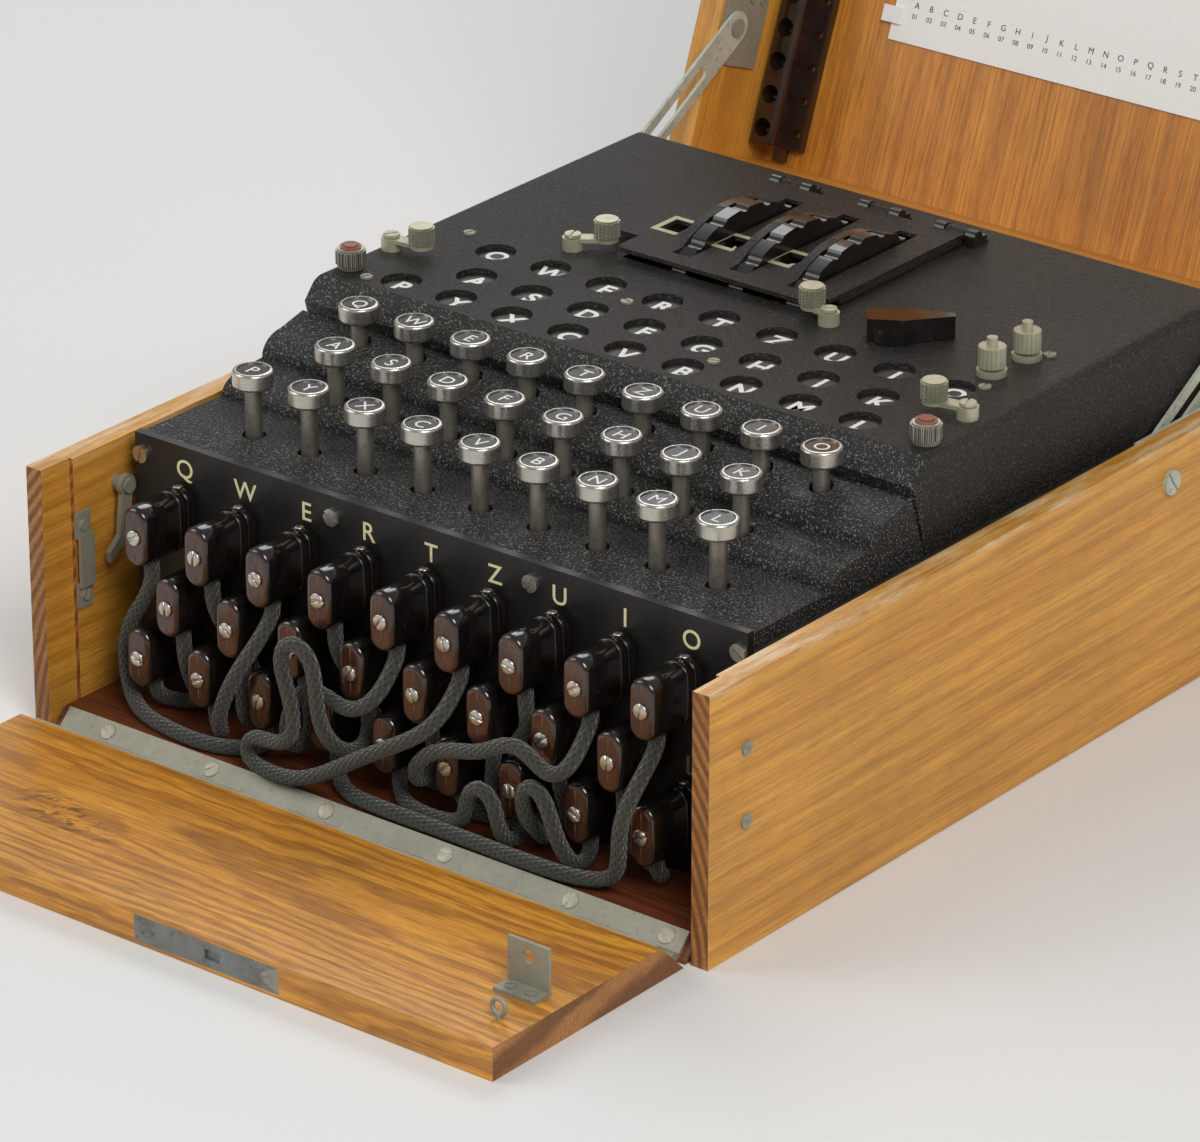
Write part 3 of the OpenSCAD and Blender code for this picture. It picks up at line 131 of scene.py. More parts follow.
def relief(tree, shader, height, strength, depth):
    bump = addNode(tree, "Bump", {"Height": height, "Strength": strength, "Distance": depth})
    tree.links.new(bump.outputs[0], shader.inputs["Normal"])


def colourOf(tree, shader, colour):
    tree.links.new(colour, shader.inputs["Base Color"])


def roughOf(tree, shader, fac, low, high):
    span = addNode(tree, "MapRange", {"Value": fac, "To Min": low, "To Max": high})
    tree.links.new(span.outputs[0], shader.inputs["Roughness"])


def newPiece(name, mesh, body, finishes):
    piece = bpy.data.objects.new(name, mesh)
    bpy.context.scene.collection.objects.link(piece)
    for finish in finishes:
        mesh.materials.append(finish)
    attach(piece, body)
    return piece


def meshOf(bm, name):
    mesh = bpy.data.meshes.new(name)
    bm.to_mesh(mesh)
    bm.free()
    return mesh


def vertsOf(made):
    return [v for v in made["geom"] if isinstance(v, bmesh.types.BMVert)]


def bevelEdges(bm, edges, width, segments=2):
    bmesh.ops.bevel(bm, geom=edges, offset=width, offset_type="OFFSET", affect="EDGES",
                    segments=segments, profile=0.5, material=-1, clamp_overlap=True)


def addMesh(bm, mesh, matrix):
    # puts a copy of a mesh into bm at its place
    before = len(bm.verts)
    bm.from_mesh(mesh)
    bm.verts.ensure_lookup_table()
    bmesh.ops.transform(bm, matrix=matrix, verts=bm.verts[before:])


rows = ("pyxcvbnml", "asdfghjk", "qwertzuio")  # keys and lamps from the front, plugs from the bottom
rowFirst = (-4, -3.5, -4)  # each row's first letter, in pitches from the middle
cord = {"diameter": 5.2, "pitch": 26.1, "rowPitch": 21.6, "lowRow": 29.9, "exitBack": 20.15,
        "plugHeight": 21.0, "step": 1.3, "cuts": 24, "strands": 9, "twist": 3.4}


def plugCentre(row, place):
    return (rowFirst[row] + place) * cord["pitch"], cord["lowRow"] + row * cord["rowPitch"]


def plugExit(row, place):
    x, up = plugCentre(row, place)
    return Vector((x, cord["exitBack"], up - cord["plugHeight"] / 2))


def cordPoints(start, route, end):
    first = [plugExit(*start) + Vector((0, 0, lift)) for lift in (4, 0, -4)]
    last = [plugExit(*end) + Vector((0, 0, lift)) for lift in (-4, 0, 4)]
    return first + [Vector(point) for point in route] + last


def curveLine(points, step):
    # a smooth cubic curve close to the points, cut at even steps
    dense = []
    for a, b, c, d in zip(points, points[1:], points[2:], points[3:]):
        for k in range(cord["cuts"]):
            t = k / cord["cuts"]
            dense.append(((1 - t) ** 3 * a + (3 * t ** 3 - 6 * t * t + 4) * b
                          + (-3 * t ** 3 + 3 * t * t + 3 * t + 1) * c + t ** 3 * d) / 6)
    dense.append(points[-2].copy())
    line, gone = [dense[0]], 0.0
    for a, b in zip(dense, dense[1:]):
        gone += (b - a).length
        if gone >= step:
            line.append(b)
            gone = 0.0
    line[-1] = dense[-1]
    return line


cordRoutes = [  # from, through, to, in millimetres
    # down the left end and forward along the floor
    [[2, 0], [[-104.4, 20, 55], [-107.5, 20, 48], [-112.5, 20, 41], [-116.5, 20, 33], [-117, 19.5, 24],
        [-114.5, 18, 16], [-109, 15, 11.3], [-101, 12, 10], [-92, 10, 10], [-82, 8.5, 10], [-72.5, 8.5, 10],
        [-64.5, 11, 10], [-58.5, 15.3, 10], [-54, 18.7, 11.5]], [0, 2]],
    # short hops behind the fronts
    [[1, 0], [[-91.4, 20.5, 30], [-91, 23, 22], [-91.5, 27, 15], [-95, 30, 10.5], [-100.2, 28.5, 10],
        [-103.4, 24, 11.3]], [0, 0]],
    [[2, 1], [[-78.3, 20.5, 54.5], [-77.8, 22, 49], [-74.8, 23.5, 44.3], [-70.6, 24.5, 39.5],
        [-68.6, 27, 33], [-68.2, 30.5, 26], [-67, 31, 18.5], [-65.6, 26.5, 14.5], [-65.2, 20.5, 16],
        [-65.2, 18.6, 22], [-65.2, 19.6, 29]], [1, 1]],
    [[2, 6], [[52.2, 20.5, 54.5], [51.6, 22, 49], [48.7, 23.5, 44.3], [44.5, 24.5, 39.5], [42.5, 27, 33],
        [42.1, 30.3, 26.5], [41, 30.5, 20], [39.7, 26.5, 16.5], [39.2, 20.5, 17], [39.2, 18.6, 23],
        [39.2, 19.6, 29.5]], [1, 5]],
    [[1, 7], [[91.4, 20.5, 30], [91, 23, 22], [91.5, 27, 15], [95, 30, 10.5], [100.2, 28.5, 10],
        [103.4, 24, 11.3]], [0, 8]],
    # slanting across two columns to the lowest row
    [[2, 2], [[-52.6, 17.5, 54.5], [-54, 12, 48], [-57, 7.8, 41], [-60.5, 6.5, 33.5], [-64, 7, 26],
        [-67.3, 9.5, 19.5], [-69.8, 13, 14.5], [-72.3, 16.4, 11.2], [-76, 18.9, 11]], [0, 1]],
    # to the left over the fronts, and up again below its neighbour but one
    [[2, 4], [[0.2, 17, 54.5], [-0.5, 11.5, 48], [-5, 8.7, 42.5], [-12, 8.6, 40], [-19, 8.8, 42],
        [-26, 8.8, 43.5], [-32, 8.5, 40], [-35.8, 8.6, 33], [-38, 9, 25.5], [-39, 11.8, 18.7],
        [-39.2, 17, 15.6], [-39.2, 22, 18.5], [-39.2, 22.8, 25], [-39.2, 21.2, 31]], [1, 2]],
    # the long one, which runs down to the strip, turns back and loops up
    [[2, 5], [[26.1, 17, 54.5], [25.6, 11, 48.3], [22, 6, 43], [15.5, 3.6, 38.7], [7.5, 3.1, 34],
        [-1, 3, 28.7], [-10, 3, 22.8], [-19, 3, 17], [-28, 3, 12.8], [-37, 3.2, 11.3], [-45.5, 4.3, 11.3],
        [-51.5, 5.5, 12.5], [-52.5, 6, 17.5], [-48, 5.5, 21.5], [-40.5, 4.2, 22], [-33.2, 3.2, 23.8],
        [-29.3, 3, 29.5], [-29.8, 3, 37.5], [-32.5, 3, 45.5], [-35, 3, 53], [-33, 3.2, 59.5],
        [-27, 3.5, 60.8], [-22, 3.8, 56], [-20, 3.1, 48.5], [-19.4, 3, 40.5], [-18.2, 3.9, 32.5],
        [-15.6, 7.5, 25.8], [-13.6, 13.3, 22.7], [-13.1, 19.2, 24], [-13.1, 21.2, 30]], [1, 3]],
    # behind all the others, along the floor
    [[2, 3], [[-26.1, 20.5, 54.5], [-25.6, 22, 49], [-22.6, 23.5, 44.3], [-18.4, 24.5, 39.5],
        [-16.2, 26.5, 32], [-15, 29, 24.5], [-12, 31, 17.5], [-6, 32.5, 12.2], [2, 33, 10], [13, 33, 10],
        [24, 33, 10], [35, 33, 10], [46, 33, 10], [55, 32.3, 11.5], [61, 29.5, 16], [64.3, 25.5, 22.5],
        [65.2, 21.5, 29.5]], [1, 6]],
    # down the right end and far to the left along the floor
    [[2, 8], [[104.4, 17, 54.5], [103.8, 11, 48], [101.8, 7.5, 40.5], [100.2, 6.5, 32.5], [99.5, 7.3, 24.5],
        [97.5, 9.3, 17], [92.5, 11, 11.8], [85, 9, 10.4], [76, 6.8, 10.8], [67, 6.6, 10.8], [58, 6.5, 10.8],
        [49, 6.6, 10.8], [39, 7.2, 10.6], [29, 7.6, 10.4], [19, 7.2, 10.6], [9, 7.2, 10.6], [-1, 8, 10.3],
        [-10, 9, 10], [-17.5, 12.3, 10], [-22.8, 17, 11]], [0, 3]],
    # in waves over the fronts
    [[2, 7], [[78.5, 17, 54.8], [78.8, 11.3, 49], [76.3, 8, 44.3], [71, 7.3, 43], [65.7, 7.3, 46.5],
        [59.5, 7.3, 49.7], [53, 7.4, 48], [47, 7.6, 44], [40.5, 7.8, 41.3], [33, 8, 39.8], [26, 8.4, 37.3],
        [20, 8.2, 33.5], [15.6, 9, 27.5], [13.4, 12.6, 21.8], [13.1, 18, 19.5], [13.1, 22.2, 23.3],
        [13.1, 22.2, 30]], [1, 4]],
    # with a small loop up before the lowest row
    [[0, 4], [[2, 18.6, 11.4], [6, 15.6, 10], [13, 13.8, 10], [21, 13.6, 10], [28.5, 13.3, 11],
        [34, 11.5, 15], [37, 8.8, 21], [39.5, 7.2, 27.5], [44.3, 6.8, 31.3], [49.3, 7, 28], [50.6, 7.6, 21],
        [50.2, 10, 15], [50.6, 14, 11], [51.7, 18.4, 11.2]], [0, 6]],
    [[0, 7], [[78.1, 18.7, 11.3], [77.4, 14.6, 10.8], [75.6, 11, 14], [73.7, 7.8, 23], [72.3, 7, 30],
        [69, 7, 36.3], [64, 7, 37.8], [60.5, 7.5, 33], [60, 9.5, 25.5], [60.8, 13.5, 18.8],
        [60.3, 19, 13.2], [57, 24.5, 10.5], [50.5, 26.8, 10], [43.5, 26.8, 10], [37, 26.3, 10],
        [31.3, 24, 10.3], [27.9, 21.4, 12]], [0, 5]]
]


def braidFinish():
    material, tree, shader = newFinish("greenGreyBraid", (0.055, 0.06, 0.045), rough=0.78, gloss=0.3)
    along = addNode(tree, "UVMap", uv_map="braid").outputs[0]
    parts = addNode(tree, "SeparateXYZ", {0: along})
    around = calc(tree, "MULTIPLY", parts.outputs[0], 2 * math.pi * cord["strands"])
    forth = calc(tree, "MULTIPLY", parts.outputs[1], 2 * math.pi * 1000 / cord["twist"])
    left = calc(tree, "SINE", calc(tree, "ADD", around, forth))
    right = calc(tree, "SINE", calc(tree, "SUBTRACT", around, forth))
    weave = calc(tree, "MAXIMUM", left, right)
    fuzz = noise(tree, (0.0007, 0.0007, 0.0007), detail=3)
    patches = noise(tree, (0.02, 0.02, 0.02), detail=2)
    worn = blendTo(tree, patches, (0.027, 0.030, 0.023), (0.062, 0.064, 0.049))
    raised = addNode(tree, "MapRange", {"Value": weave, "From Min": -0.4, "From Max": 1.0}).outputs[0]
    # raised strands lighter and the grooves between them darker: painted shade in the weave
    strands = ramp(tree, raised, [(0.0, 0.62), (0.6, 0.95), (1.0, 1.1)])
    toned = blendTo(tree, 1.0, worn, strands, "MULTIPLY")
    colourOf(tree, shader, blendTo(tree, 0.35, toned, fuzz, "OVERLAY"))
    relief(tree, shader, calc(tree, "ADD", weave, calc(tree, "MULTIPLY", fuzz, 0.7)), 0.9, 0.00035)
    shader.inputs["Sheen Weight"].default_value = 0.3
    return material


braid = braidFinish()
cordPieces = []
for start, route, end in cordRoutes:
    line = [at(*point) for point in curveLine(cordPoints(start, route, end), cord["step"])]
    curve = bpy.data.curves.new("cordLine", "CURVE")
    curve.dimensions = "3D"
    curve.bevel_depth = cord["diameter"] / 2000
    curve.bevel_resolution = 3
    curve.use_fill_caps = True
    spline = curve.splines.new("POLY")
    spline.points.add(len(line) - 1)
    for point, place in zip(spline.points, line):
        point.co = (*place, 1)
    holder = bpy.data.objects.new("cordLine", curve)
    bpy.context.scene.collection.objects.link(holder)
    bpy.context.view_layer.update()
    name = "cord_" + rows[start[0]][start[1]] + "_" + rows[end[0]][end[1]]
    mesh = bpy.data.meshes.new_from_object(holder.evaluated_get(bpy.context.evaluated_depsgraph_get()))
    bpy.data.objects.remove(holder)
    mesh.name = name
    while mesh.uv_layers:
        mesh.uv_layers.remove(mesh.uv_layers[0])
    layer = mesh.uv_layers.new(name="braid")
    ring = len(mesh.vertices) // len(line)  # points round the cord
    for face in mesh.polygons:
        face.use_smooth = True
        spots = [mesh.loops[k].vertex_index for k in face.loop_indices]
        wraps = any(s % ring == 0 for s in spots) and any(s % ring == ring - 1 for s in spots)
        for k, s in zip(face.loop_indices, spots):
            turn = ring if wraps and s % ring == 0 else s % ring
            layer.data[k].uv = (turn / ring, min(s // ring, len(line) - 1) * cord["step"] * 0.001)
    piece = newPiece(name, mesh, "case", [braid])
    cordPieces.append(piece)
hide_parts("patch_cords")
for piece in cordPieces:
    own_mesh(piece)
print("cords made", len(cordPieces))


lidTurn = math.radians(111)  # how far the lid stands open
lidAlong = Vector((0, -math.cos(lidTurn), math.sin(lidTurn)))  # up the opened lid
lidDeep = Vector((0, math.sin(lidTurn), math.cos(lidTurn)))    # from its mouth to its top board
lidHinge = at(0, 333.95, 93.2)
upTheLid = Matrix.Rotation(math.radians(180) - lidTurn, 3, "X") @ Matrix.Rotation(math.radians(90), 3, "Z")
grainAlong = {"x": (0, 0, 0), "y": (0, 0, math.radians(90)), "lid": upTheLid.to_euler()}


waveUnit = 0.314  # the wave texture's own ring spacing at scale 1


def woodFinish(name, tones, along, ring=0.0045, fibre=1.0, rough=0.42, coat=0.2, worn=0.0, scars=None,
               tilt=3.0, heart=(0, 0, -0.2), late=0.6, wander=9.0):
    # tones run from the dark late wood to the pale early wood
    dark, middle, pale = tones
    material, tree, shader = newFinish(name, middle, rough=rough, coat=coat, coatRough=0.25)
    turn = grainAlong[along]
    tilted = Matrix.Rotation(math.radians(tilt), 3, "Y") @ Matrix.Rotation(math.radians(tilt * 0.6), 3, "Z")
    base = noise(tree, (0.15, 0.012, 0.012), turn, detail=4, rough=0.6)
    trunk = addNode(tree, "Mapping", {"Vector": pattern(tree, (5, 1, 1), turn, heart),
                                      "Rotation": tilted.to_euler()}).outputs[0]
    rings = addNode(tree, "TexWave", {"Vector": trunk, "Scale": waveUnit / ring, "Distortion": wander,
                                      "Detail": 4.0, "Detail Scale": 0.3, "Detail Roughness": 0.7},
                    wave_type="RINGS", rings_direction="X").outputs["Fac"]
    fibres = noise(tree, (0.045, 0.0011, 0.0011), turn, detail=3, rough=0.65)
    pores = noise(tree, (0.009, 0.0007, 0.0007), turn, detail=1)
    body = ramp(tree, base, [(0.25, middle), (0.75, pale)])
    lateWood = ramp(tree, rings, [(0.35, 0.0), (0.95, 1.0)])
    grained = blendTo(tree, calc(tree, "MULTIPLY", lateWood, late), body, dark)
    streaks = ramp(tree, fibres, [(0.3, 0.5), (0.62, 1.12)])
    toned = blendTo(tree, min(1.0, 0.75 * fibre), grained, streaks, "MULTIPLY")
    pits = ramp(tree, pores, [(0.56, 0.0), (0.7, 1.0)])
    colour = blendTo(tree, calc(tree, "MULTIPLY", pits, 0.4 * fibre), toned, dark)
    grime = ramp(tree, noise(tree, (0.05, 0.05, 0.05), detail=4, rough=0.65), [(0.42, 0.0), (0.8, 1.0)])
    colour = blendTo(tree, calc(tree, "MULTIPLY", grime, 0.35), colour, tuple(c * 0.45 for c in dark))
    if worn:  # along the upper edge of the walls
        up = addNode(tree, "SeparateXYZ", {0: pattern(tree, (1, 1, 1))}).outputs[2]
        edge = addNode(tree, "MapRange", {"Value": up, "From Min": 0.0895, "From Max": 0.0925}).outputs[0]
        patches = noise(tree, (0.03, 0.004, 0.004), turn, detail=4, rough=0.7)
        rub = ramp(tree, patches, [(0.45, 0.0), (0.7, 1.0)])
        rubbed = calc(tree, "MULTIPLY", calc(tree, "MULTIPLY", edge, rub), worn)
        colour = blendTo(tree, rubbed, colour, (0.78, 0.6, 0.36))
    if scars:  # dark scratches in one oval
        centre, size = scars
        oval = pattern(tree, size, (0, 0, math.radians(-12)), centre)
        far = addNode(tree, "VectorMath", {0: oval}, operation="LENGTH").outputs["Value"]
        near = addNode(tree, "MapRange", {"Value": far, "From Min": 1.0, "From Max": 0.35}).outputs[0]
        scratches = noise(tree, (0.009, 0.0035, 0.004), (0, 0, 0.5), detail=5, rough=0.75)
        marks = calc(tree, "MULTIPLY", near, ramp(tree, scratches, [(0.52, 0.0), (0.6, 1.0)]))
        colour = blendTo(tree, calc(tree, "MULTIPLY", marks, 0.85), colour, (0.025, 0.012, 0.008))
    colourOf(tree, shader, colour)
    roughOf(tree, shader, fibres, rough - 0.08, rough + 0.16)
    height = calc(tree, "SUBTRACT", fibres, calc(tree, "MULTIPLY", pits, 0.8))
    relief(tree, shader, height, 0.35, 0.0003)
    return material


def endGrainFinish(name, dark, pale):
    material, tree, shader = newFinish(name, pale, rough=0.6)
    layers = addNode(tree, "TexWave", {"Vector": pattern(tree, (1, 1, 1), (0.1, 0.25, 0)), "Scale": 95.0,
                                       "Distortion": 2.5, "Detail": 3.0, "Detail Scale": 0.5},
                     wave_type="RINGS", rings_direction="Y").outputs["Fac"]
    specks = noise(tree, (0.0009, 0.0009, 0.0009), detail=3, rough=0.7)
    blotch = noise(tree, (0.02, 0.02, 0.02), detail=3)
    ringed = ramp(tree, layers, [(0.25, dark), (0.8, pale)])
    colour = blendTo(tree, 0.6, ringed, ramp(tree, specks, [(0.35, 0.45), (0.65, 1.15)]), "MULTIPLY")
    stain = calc(tree, "MULTIPLY", ramp(tree, blotch, [(0.45, 0.0), (0.75, 1.0)]), 0.5)
    colourOf(tree, shader, blendTo(tree, stain, colour, dark))
    relief(tree, shader, specks, 0.4, 0.0004)
    return material


goldTones = ((0.36, 0.135, 0.014), (0.64, 0.275, 0.030), (0.76, 0.37, 0.055))
flapTones = ((0.25, 0.075, 0.010), (0.66, 0.26, 0.022), (0.82, 0.38, 0.045))
floorTones = ((0.05, 0.012, 0.004), (0.16, 0.038, 0.010), (0.23, 0.06, 0.016))
plyTones = ((0.33, 0.10, 0.010), (0.60, 0.215, 0.020), (0.74, 0.32, 0.04))
wallWood = woodFinish("wallWoodAlongY", goldTones, "y", ring=0.007, fibre=0.7, worn=1.0, late=0.28)
backWood = woodFinish("wallWoodAlongX", goldTones, "x", ring=0.007, fibre=0.7, worn=1.0, late=0.28)
flapWood = woodFinish("flapOak", flapTones, "x", ring=0.0034, tilt=7.0, late=0.5, wander=16.0,
                      heart=(0.03, caseFront - 0.046, -0.020),
                      scars=((-0.072, caseFront - 0.06, 0.011), (0.034, 0.010, 0.01)))
floorWood = woodFinish("floorRedBrown", floorTones, "x", rough=0.5, coat=0.1, late=0.3)
lidWoodLong = woodFinish("lidWoodUpwards", goldTones, "lid", ring=0.008, fibre=0.7, heart=(0.3, 0, 0),
                         late=0.3)
lidWoodWide = woodFinish("lidWoodAcross", goldTones, "x", ring=0.008, fibre=0.7, late=0.3)
panelPly = woodFinish("lidPanelPly", plyTones, "lid", ring=0.014, rough=0.36, heart=(-0.4, 0.3, 0), late=0.3)
endGrain = endGrainFinish("endGrainBrown", (0.21, 0.08, 0.022), (0.46, 0.20, 0.055))


def dress(name, finishes, choose=None):
    mesh = nodes[name].data
    mesh.materials.clear()
    for finish in finishes:
        mesh.materials.append(finish)
    for face in mesh.polygons:
        face.material_index = choose(face) if choose else 0


def mm(face):
    return 1000 * face.center.x, 1000 * (face.center.y - caseFront), 1000 * face.center.z


# finger joints: each finger shows end grain on one of its two outer sides
fingers = {"inCase": 9, "inLid": 5, "wallHeight": 93.0, "lidHeight": 54.0, "halfWidth": 140.0,
           "length": 332.0, "wall": 8.0, "rim": 10.0, "backWall": 320, "topBoard": 46, "hingeEnd": 12}
square = 0.9  # a face's normal counts as lying along an axis above this


def wallFace(face):
    # 0 a side wall, 1 the back wall, 2 end grain
    x, back, up = mm(face)
    finger = int(up // (fingers["wallHeight"] / fingers["inCase"]))
    inside = fingers["halfWidth"] - fingers["wall"]
    if abs(face.normal.y) > square:
        return 1 if back > fingers["backWall"] and not (abs(x) > inside and finger % 2 == 0) else 2
    outside = abs(face.normal.x) > square and abs(x) > fingers["halfWidth"] - 0.5
    if outside and back > fingers["length"] - fingers["wall"] and finger % 2 == 1:
        return 2
    return 1 if abs(x) < inside - 0.1 and back > fingers["backWall"] else 0


def lidFace(face):
    # 0 the long rims and the top board, 1 the short rims, 2 end grain
    place = face.center - lidHinge
    x, along, deep = 1000 * abs(place.x), 1000 * place.dot(lidAlong), 1000 * place.dot(lidDeep)
    finger = int(deep // (fingers["lidHeight"] / fingers["inLid"]))
    inside = fingers["halfWidth"] - fingers["rim"]
    if abs(face.normal.dot(lidAlong)) > square and x > inside:
        return 2 if finger % 2 == 0 else 1
    nearEnd = along > fingers["length"] - fingers["rim"] or along < fingers["hingeEnd"]
    if abs(face.normal.x) > square and x > fingers["halfWidth"] - 0.5 and nearEnd and finger % 2 == 1:
        return 2
    return 0 if x > inside - 0.5 or deep > fingers["topBoard"] else 1


dress("case_walls", [wallWood, backWood, endGrain], wallFace)
dress("case_floor", [floorWood, endGrain],
      lambda face: 1 if abs(face.normal.y) > 0.6 and face.normal.z < 0.2 else 0)
dress("flap_board", [flapWood, endGrain], lambda face: 1 if abs(face.normal.x) > 0.9 else 0)
dress("lid_frame", [lidWoodLong, lidWoodWide, endGrain], lidFace)
dress("lid_panel", [panelPly])
print("wood dressed")


def metalFinish(name, clean, dull, rough=0.35, metal=0.8, grain=(0.0006, 0.0006, 0.0006), spots=0.35):
    material, tree, shader = newFinish(name, clean, rough=rough, metal=metal)
    tarnish = ramp(tree, noise(tree, (0.012, 0.012, 0.012), detail=4, rough=0.65), [(0.35, 0.0), (0.72, 1.0)])
    fine = noise(tree, grain, detail=3, rough=0.6)
    colour = blendTo(tree, calc(tree, "MULTIPLY", tarnish, 0.75), clean, dull)
    pits = ramp(tree, noise(tree, (0.0016, 0.0016, 0.0016), detail=3), [(0.6, 0.0), (0.72, 1.0)])
    colour = blendTo(tree, calc(tree, "MULTIPLY", pits, spots), colour, tuple(c * 0.3 for c in dull))
    colourOf(tree, shader, colour)
    roughOf(tree, shader, fine, rough - 0.1, rough + 0.15)
    relief(tree, shader, fine, 0.25, 0.00015)
    return material


def enamelFinish(name, tone, glintTone, wrinkle, deep, rough, glints=0.5, worn=None):
    material, tree, shader = newFinish(name, tone, rough=rough, coat=0.08, coatRough=0.2, gloss=0.42)
    lumps = noise(tree, (wrinkle,) * 3, detail=2, rough=0.55, distortion=0.6)
    cells = addNode(tree, "TexVoronoi", {"Vector": pattern(tree, (wrinkle * 1.4,) * 3)}, feature="SMOOTH_F1")
    folds = calc(tree, "MULTIPLY", cells.outputs["Distance"], 0.6)
    # tiny bright spots in the glint tone: painted highlights standing in for glints off the wrinkled enamel
    specks = noise(tree, (wrinkle * 0.8,) * 3, detail=1, shift=(0.3, 0.1, 0.2))
    paintedGlints = ramp(tree, specks, [(0.57, 0.0), (0.68, 1.0)])
    shade = ramp(tree, noise(tree, (0.06, 0.06, 0.06), detail=3), [(0.3, 0.0), (0.75, 1.0)])
    colour = blendTo(tree, shade, tone, tuple(c * 1.9 + 0.003 for c in tone))
    colour = blendTo(tree, calc(tree, "MULTIPLY", paintedGlints, glints), colour, glintTone)
    if worn:
        scuffs = ramp(tree, noise(tree, (0.02, 0.02, 0.02), detail=6, rough=0.8), [(0.62, 0.0), (0.68, 1.0)])
        colour = blendTo(tree, calc(tree, "MULTIPLY", scuffs, 0.5), colour, worn)
    colourOf(tree, shader, colour)
    roughOf(tree, shader, lumps, rough - 0.12, rough + 0.2)
    relief(tree, shader, calc(tree, "ADD", lumps, folds), deep, 0.0009)
    return material


def glossFinish(name, tone, light, rough=0.14):
    material, tree, shader = newFinish(name, tone, rough=rough, coat=0.6, coatRough=0.06)
    clouds = noise(tree, (0.008, 0.008, 0.014), detail=4, distortion=0.5)
    dust = ramp(tree, noise(tree, (0.0012, 0.0012, 0.0012), detail=2), [(0.68, 0.0), (0.8, 1.0)])
    colour = blendTo(tree, ramp(tree, clouds, [(0.4, 0.0), (0.75, 1.0)]), tone, light)
    colourOf(tree, shader, blendTo(tree, calc(tree, "MULTIPLY", dust, 0.12), colour, (0.3, 0.28, 0.24)))
    roughOf(tree, shader, noise(tree, (0.005, 0.005, 0.005), detail=3), rough - 0.06, rough + 0.14)
    relief(tree, shader, noise(tree, (0.002, 0.002, 0.002), detail=2), 0.06, 0.0002)
    return material


def paintFinish(name, tone, worn, rough=0.5):
    material, tree, shader = newFinish(name, tone, rough=rough)
    flakes = ramp(tree, noise(tree, (0.0009, 0.0009, 0.0009), detail=3, rough=0.7), [(0.3, 0.0), (0.42, 1.0)])
    colourOf(tree, shader, blendTo(tree, flakes, worn, tone))
    roughOf(tree, shader, noise(tree, (0.002, 0.002, 0.002)), rough - 0.1, rough + 0.1)
    relief(tree, shader, flakes, 0.15, 0.0001)
    return material


def knurlFinish(name, centre, tone, dull, teeth=44, pitch=0.0011, straight=False):
    # knurling round the side of an upright knob, in diamonds or straight
    material, tree, shader = newFinish(name, tone, rough=0.4, metal=0.55)
    local = pattern(tree, (1, 1, 1), shift=(centre.x, centre.y, 0))
    angle = addNode(tree, "TexGradient", {"Vector": local}, gradient_type="RADIAL").outputs["Fac"]
    up = addNode(tree, "SeparateXYZ", {0: local}).outputs[2]
    around = calc(tree, "MULTIPLY", angle, 2 * math.pi * teeth)
    rise = calc(tree, "MULTIPLY", up, 0.0 if straight else 2 * math.pi / pitch)
    left = calc(tree, "SINE", calc(tree, "ADD", around, rise))
    right = calc(tree, "SINE", calc(tree, "SUBTRACT", around, rise))
    knurl = calc(tree, "MAXIMUM", left, right)
    side = addNode(tree, "SeparateXYZ", {0: addNode(tree, "NewGeometry").outputs["Normal"]}).outputs[2]
    flat = ramp(tree, calc(tree, "ABSOLUTE", side), [(0.3, 1.0), (0.6, 0.0)])
    groove = addNode(tree, "MapRange", {"Value": knurl, "From Min": 0.6, "From Max": -0.5}).outputs[0]
    paintedGrooveShade = calc(tree, "MULTIPLY", calc(tree, "MULTIPLY", groove, flat), 0.85)
    dirt = ramp(tree, noise(tree, (0.004, 0.004, 0.004), detail=4), [(0.4, 0.0), (0.75, 1.0)])
    colour = blendTo(tree, calc(tree, "MULTIPLY", dirt, 0.6), tone, dull)
    # the knurl's grooves darkened towards the dull tone: painted shade in the grooves
    colourOf(tree, shader, blendTo(tree, paintedGrooveShade, colour, tuple(c * 0.3 for c in dull)))
    relief(tree, shader, calc(tree, "MULTIPLY", knurl, flat), 0.9, 0.0004)
    return material


zinc = metalFinish("greyZinc", (0.36, 0.35, 0.28), (0.25, 0.245, 0.19), rough=0.5, metal=0.35, spots=0.25)
lockZinc = metalFinish("lockZinc", (0.27, 0.28, 0.27), (0.13, 0.125, 0.11), rough=0.45, metal=0.6, spots=0.5)
nickel = metalFinish("brightNickel", (0.62, 0.61, 0.56), (0.42, 0.40, 0.34), rough=0.26, metal=0.95,
                     spots=0.1)
stemNickel = metalFinish("brushedStem", (0.40, 0.37, 0.32), (0.22, 0.19, 0.15), rough=0.38, metal=0.85,
                         grain=(0.0004, 0.0004, 0.02), spots=0.4)
brass = metalFinish("oldBrass", (0.52, 0.42, 0.18), (0.28, 0.2, 0.07), rough=0.4, metal=0.85)
ivoryMetal = metalFinish("creamMetal", (0.53, 0.52, 0.38), (0.36, 0.33, 0.21), rough=0.42, metal=0.45,
                         spots=0.3)
paleScrew = metalFinish("paleScrew", (0.50, 0.48, 0.38), (0.30, 0.28, 0.2), rough=0.45, metal=0.4, spots=0.3)
stayPaint = metalFinish("palePaintedStay", (0.56, 0.60, 0.50), (0.35, 0.36, 0.29), rough=0.5, metal=0.15,
                        spots=0.6)
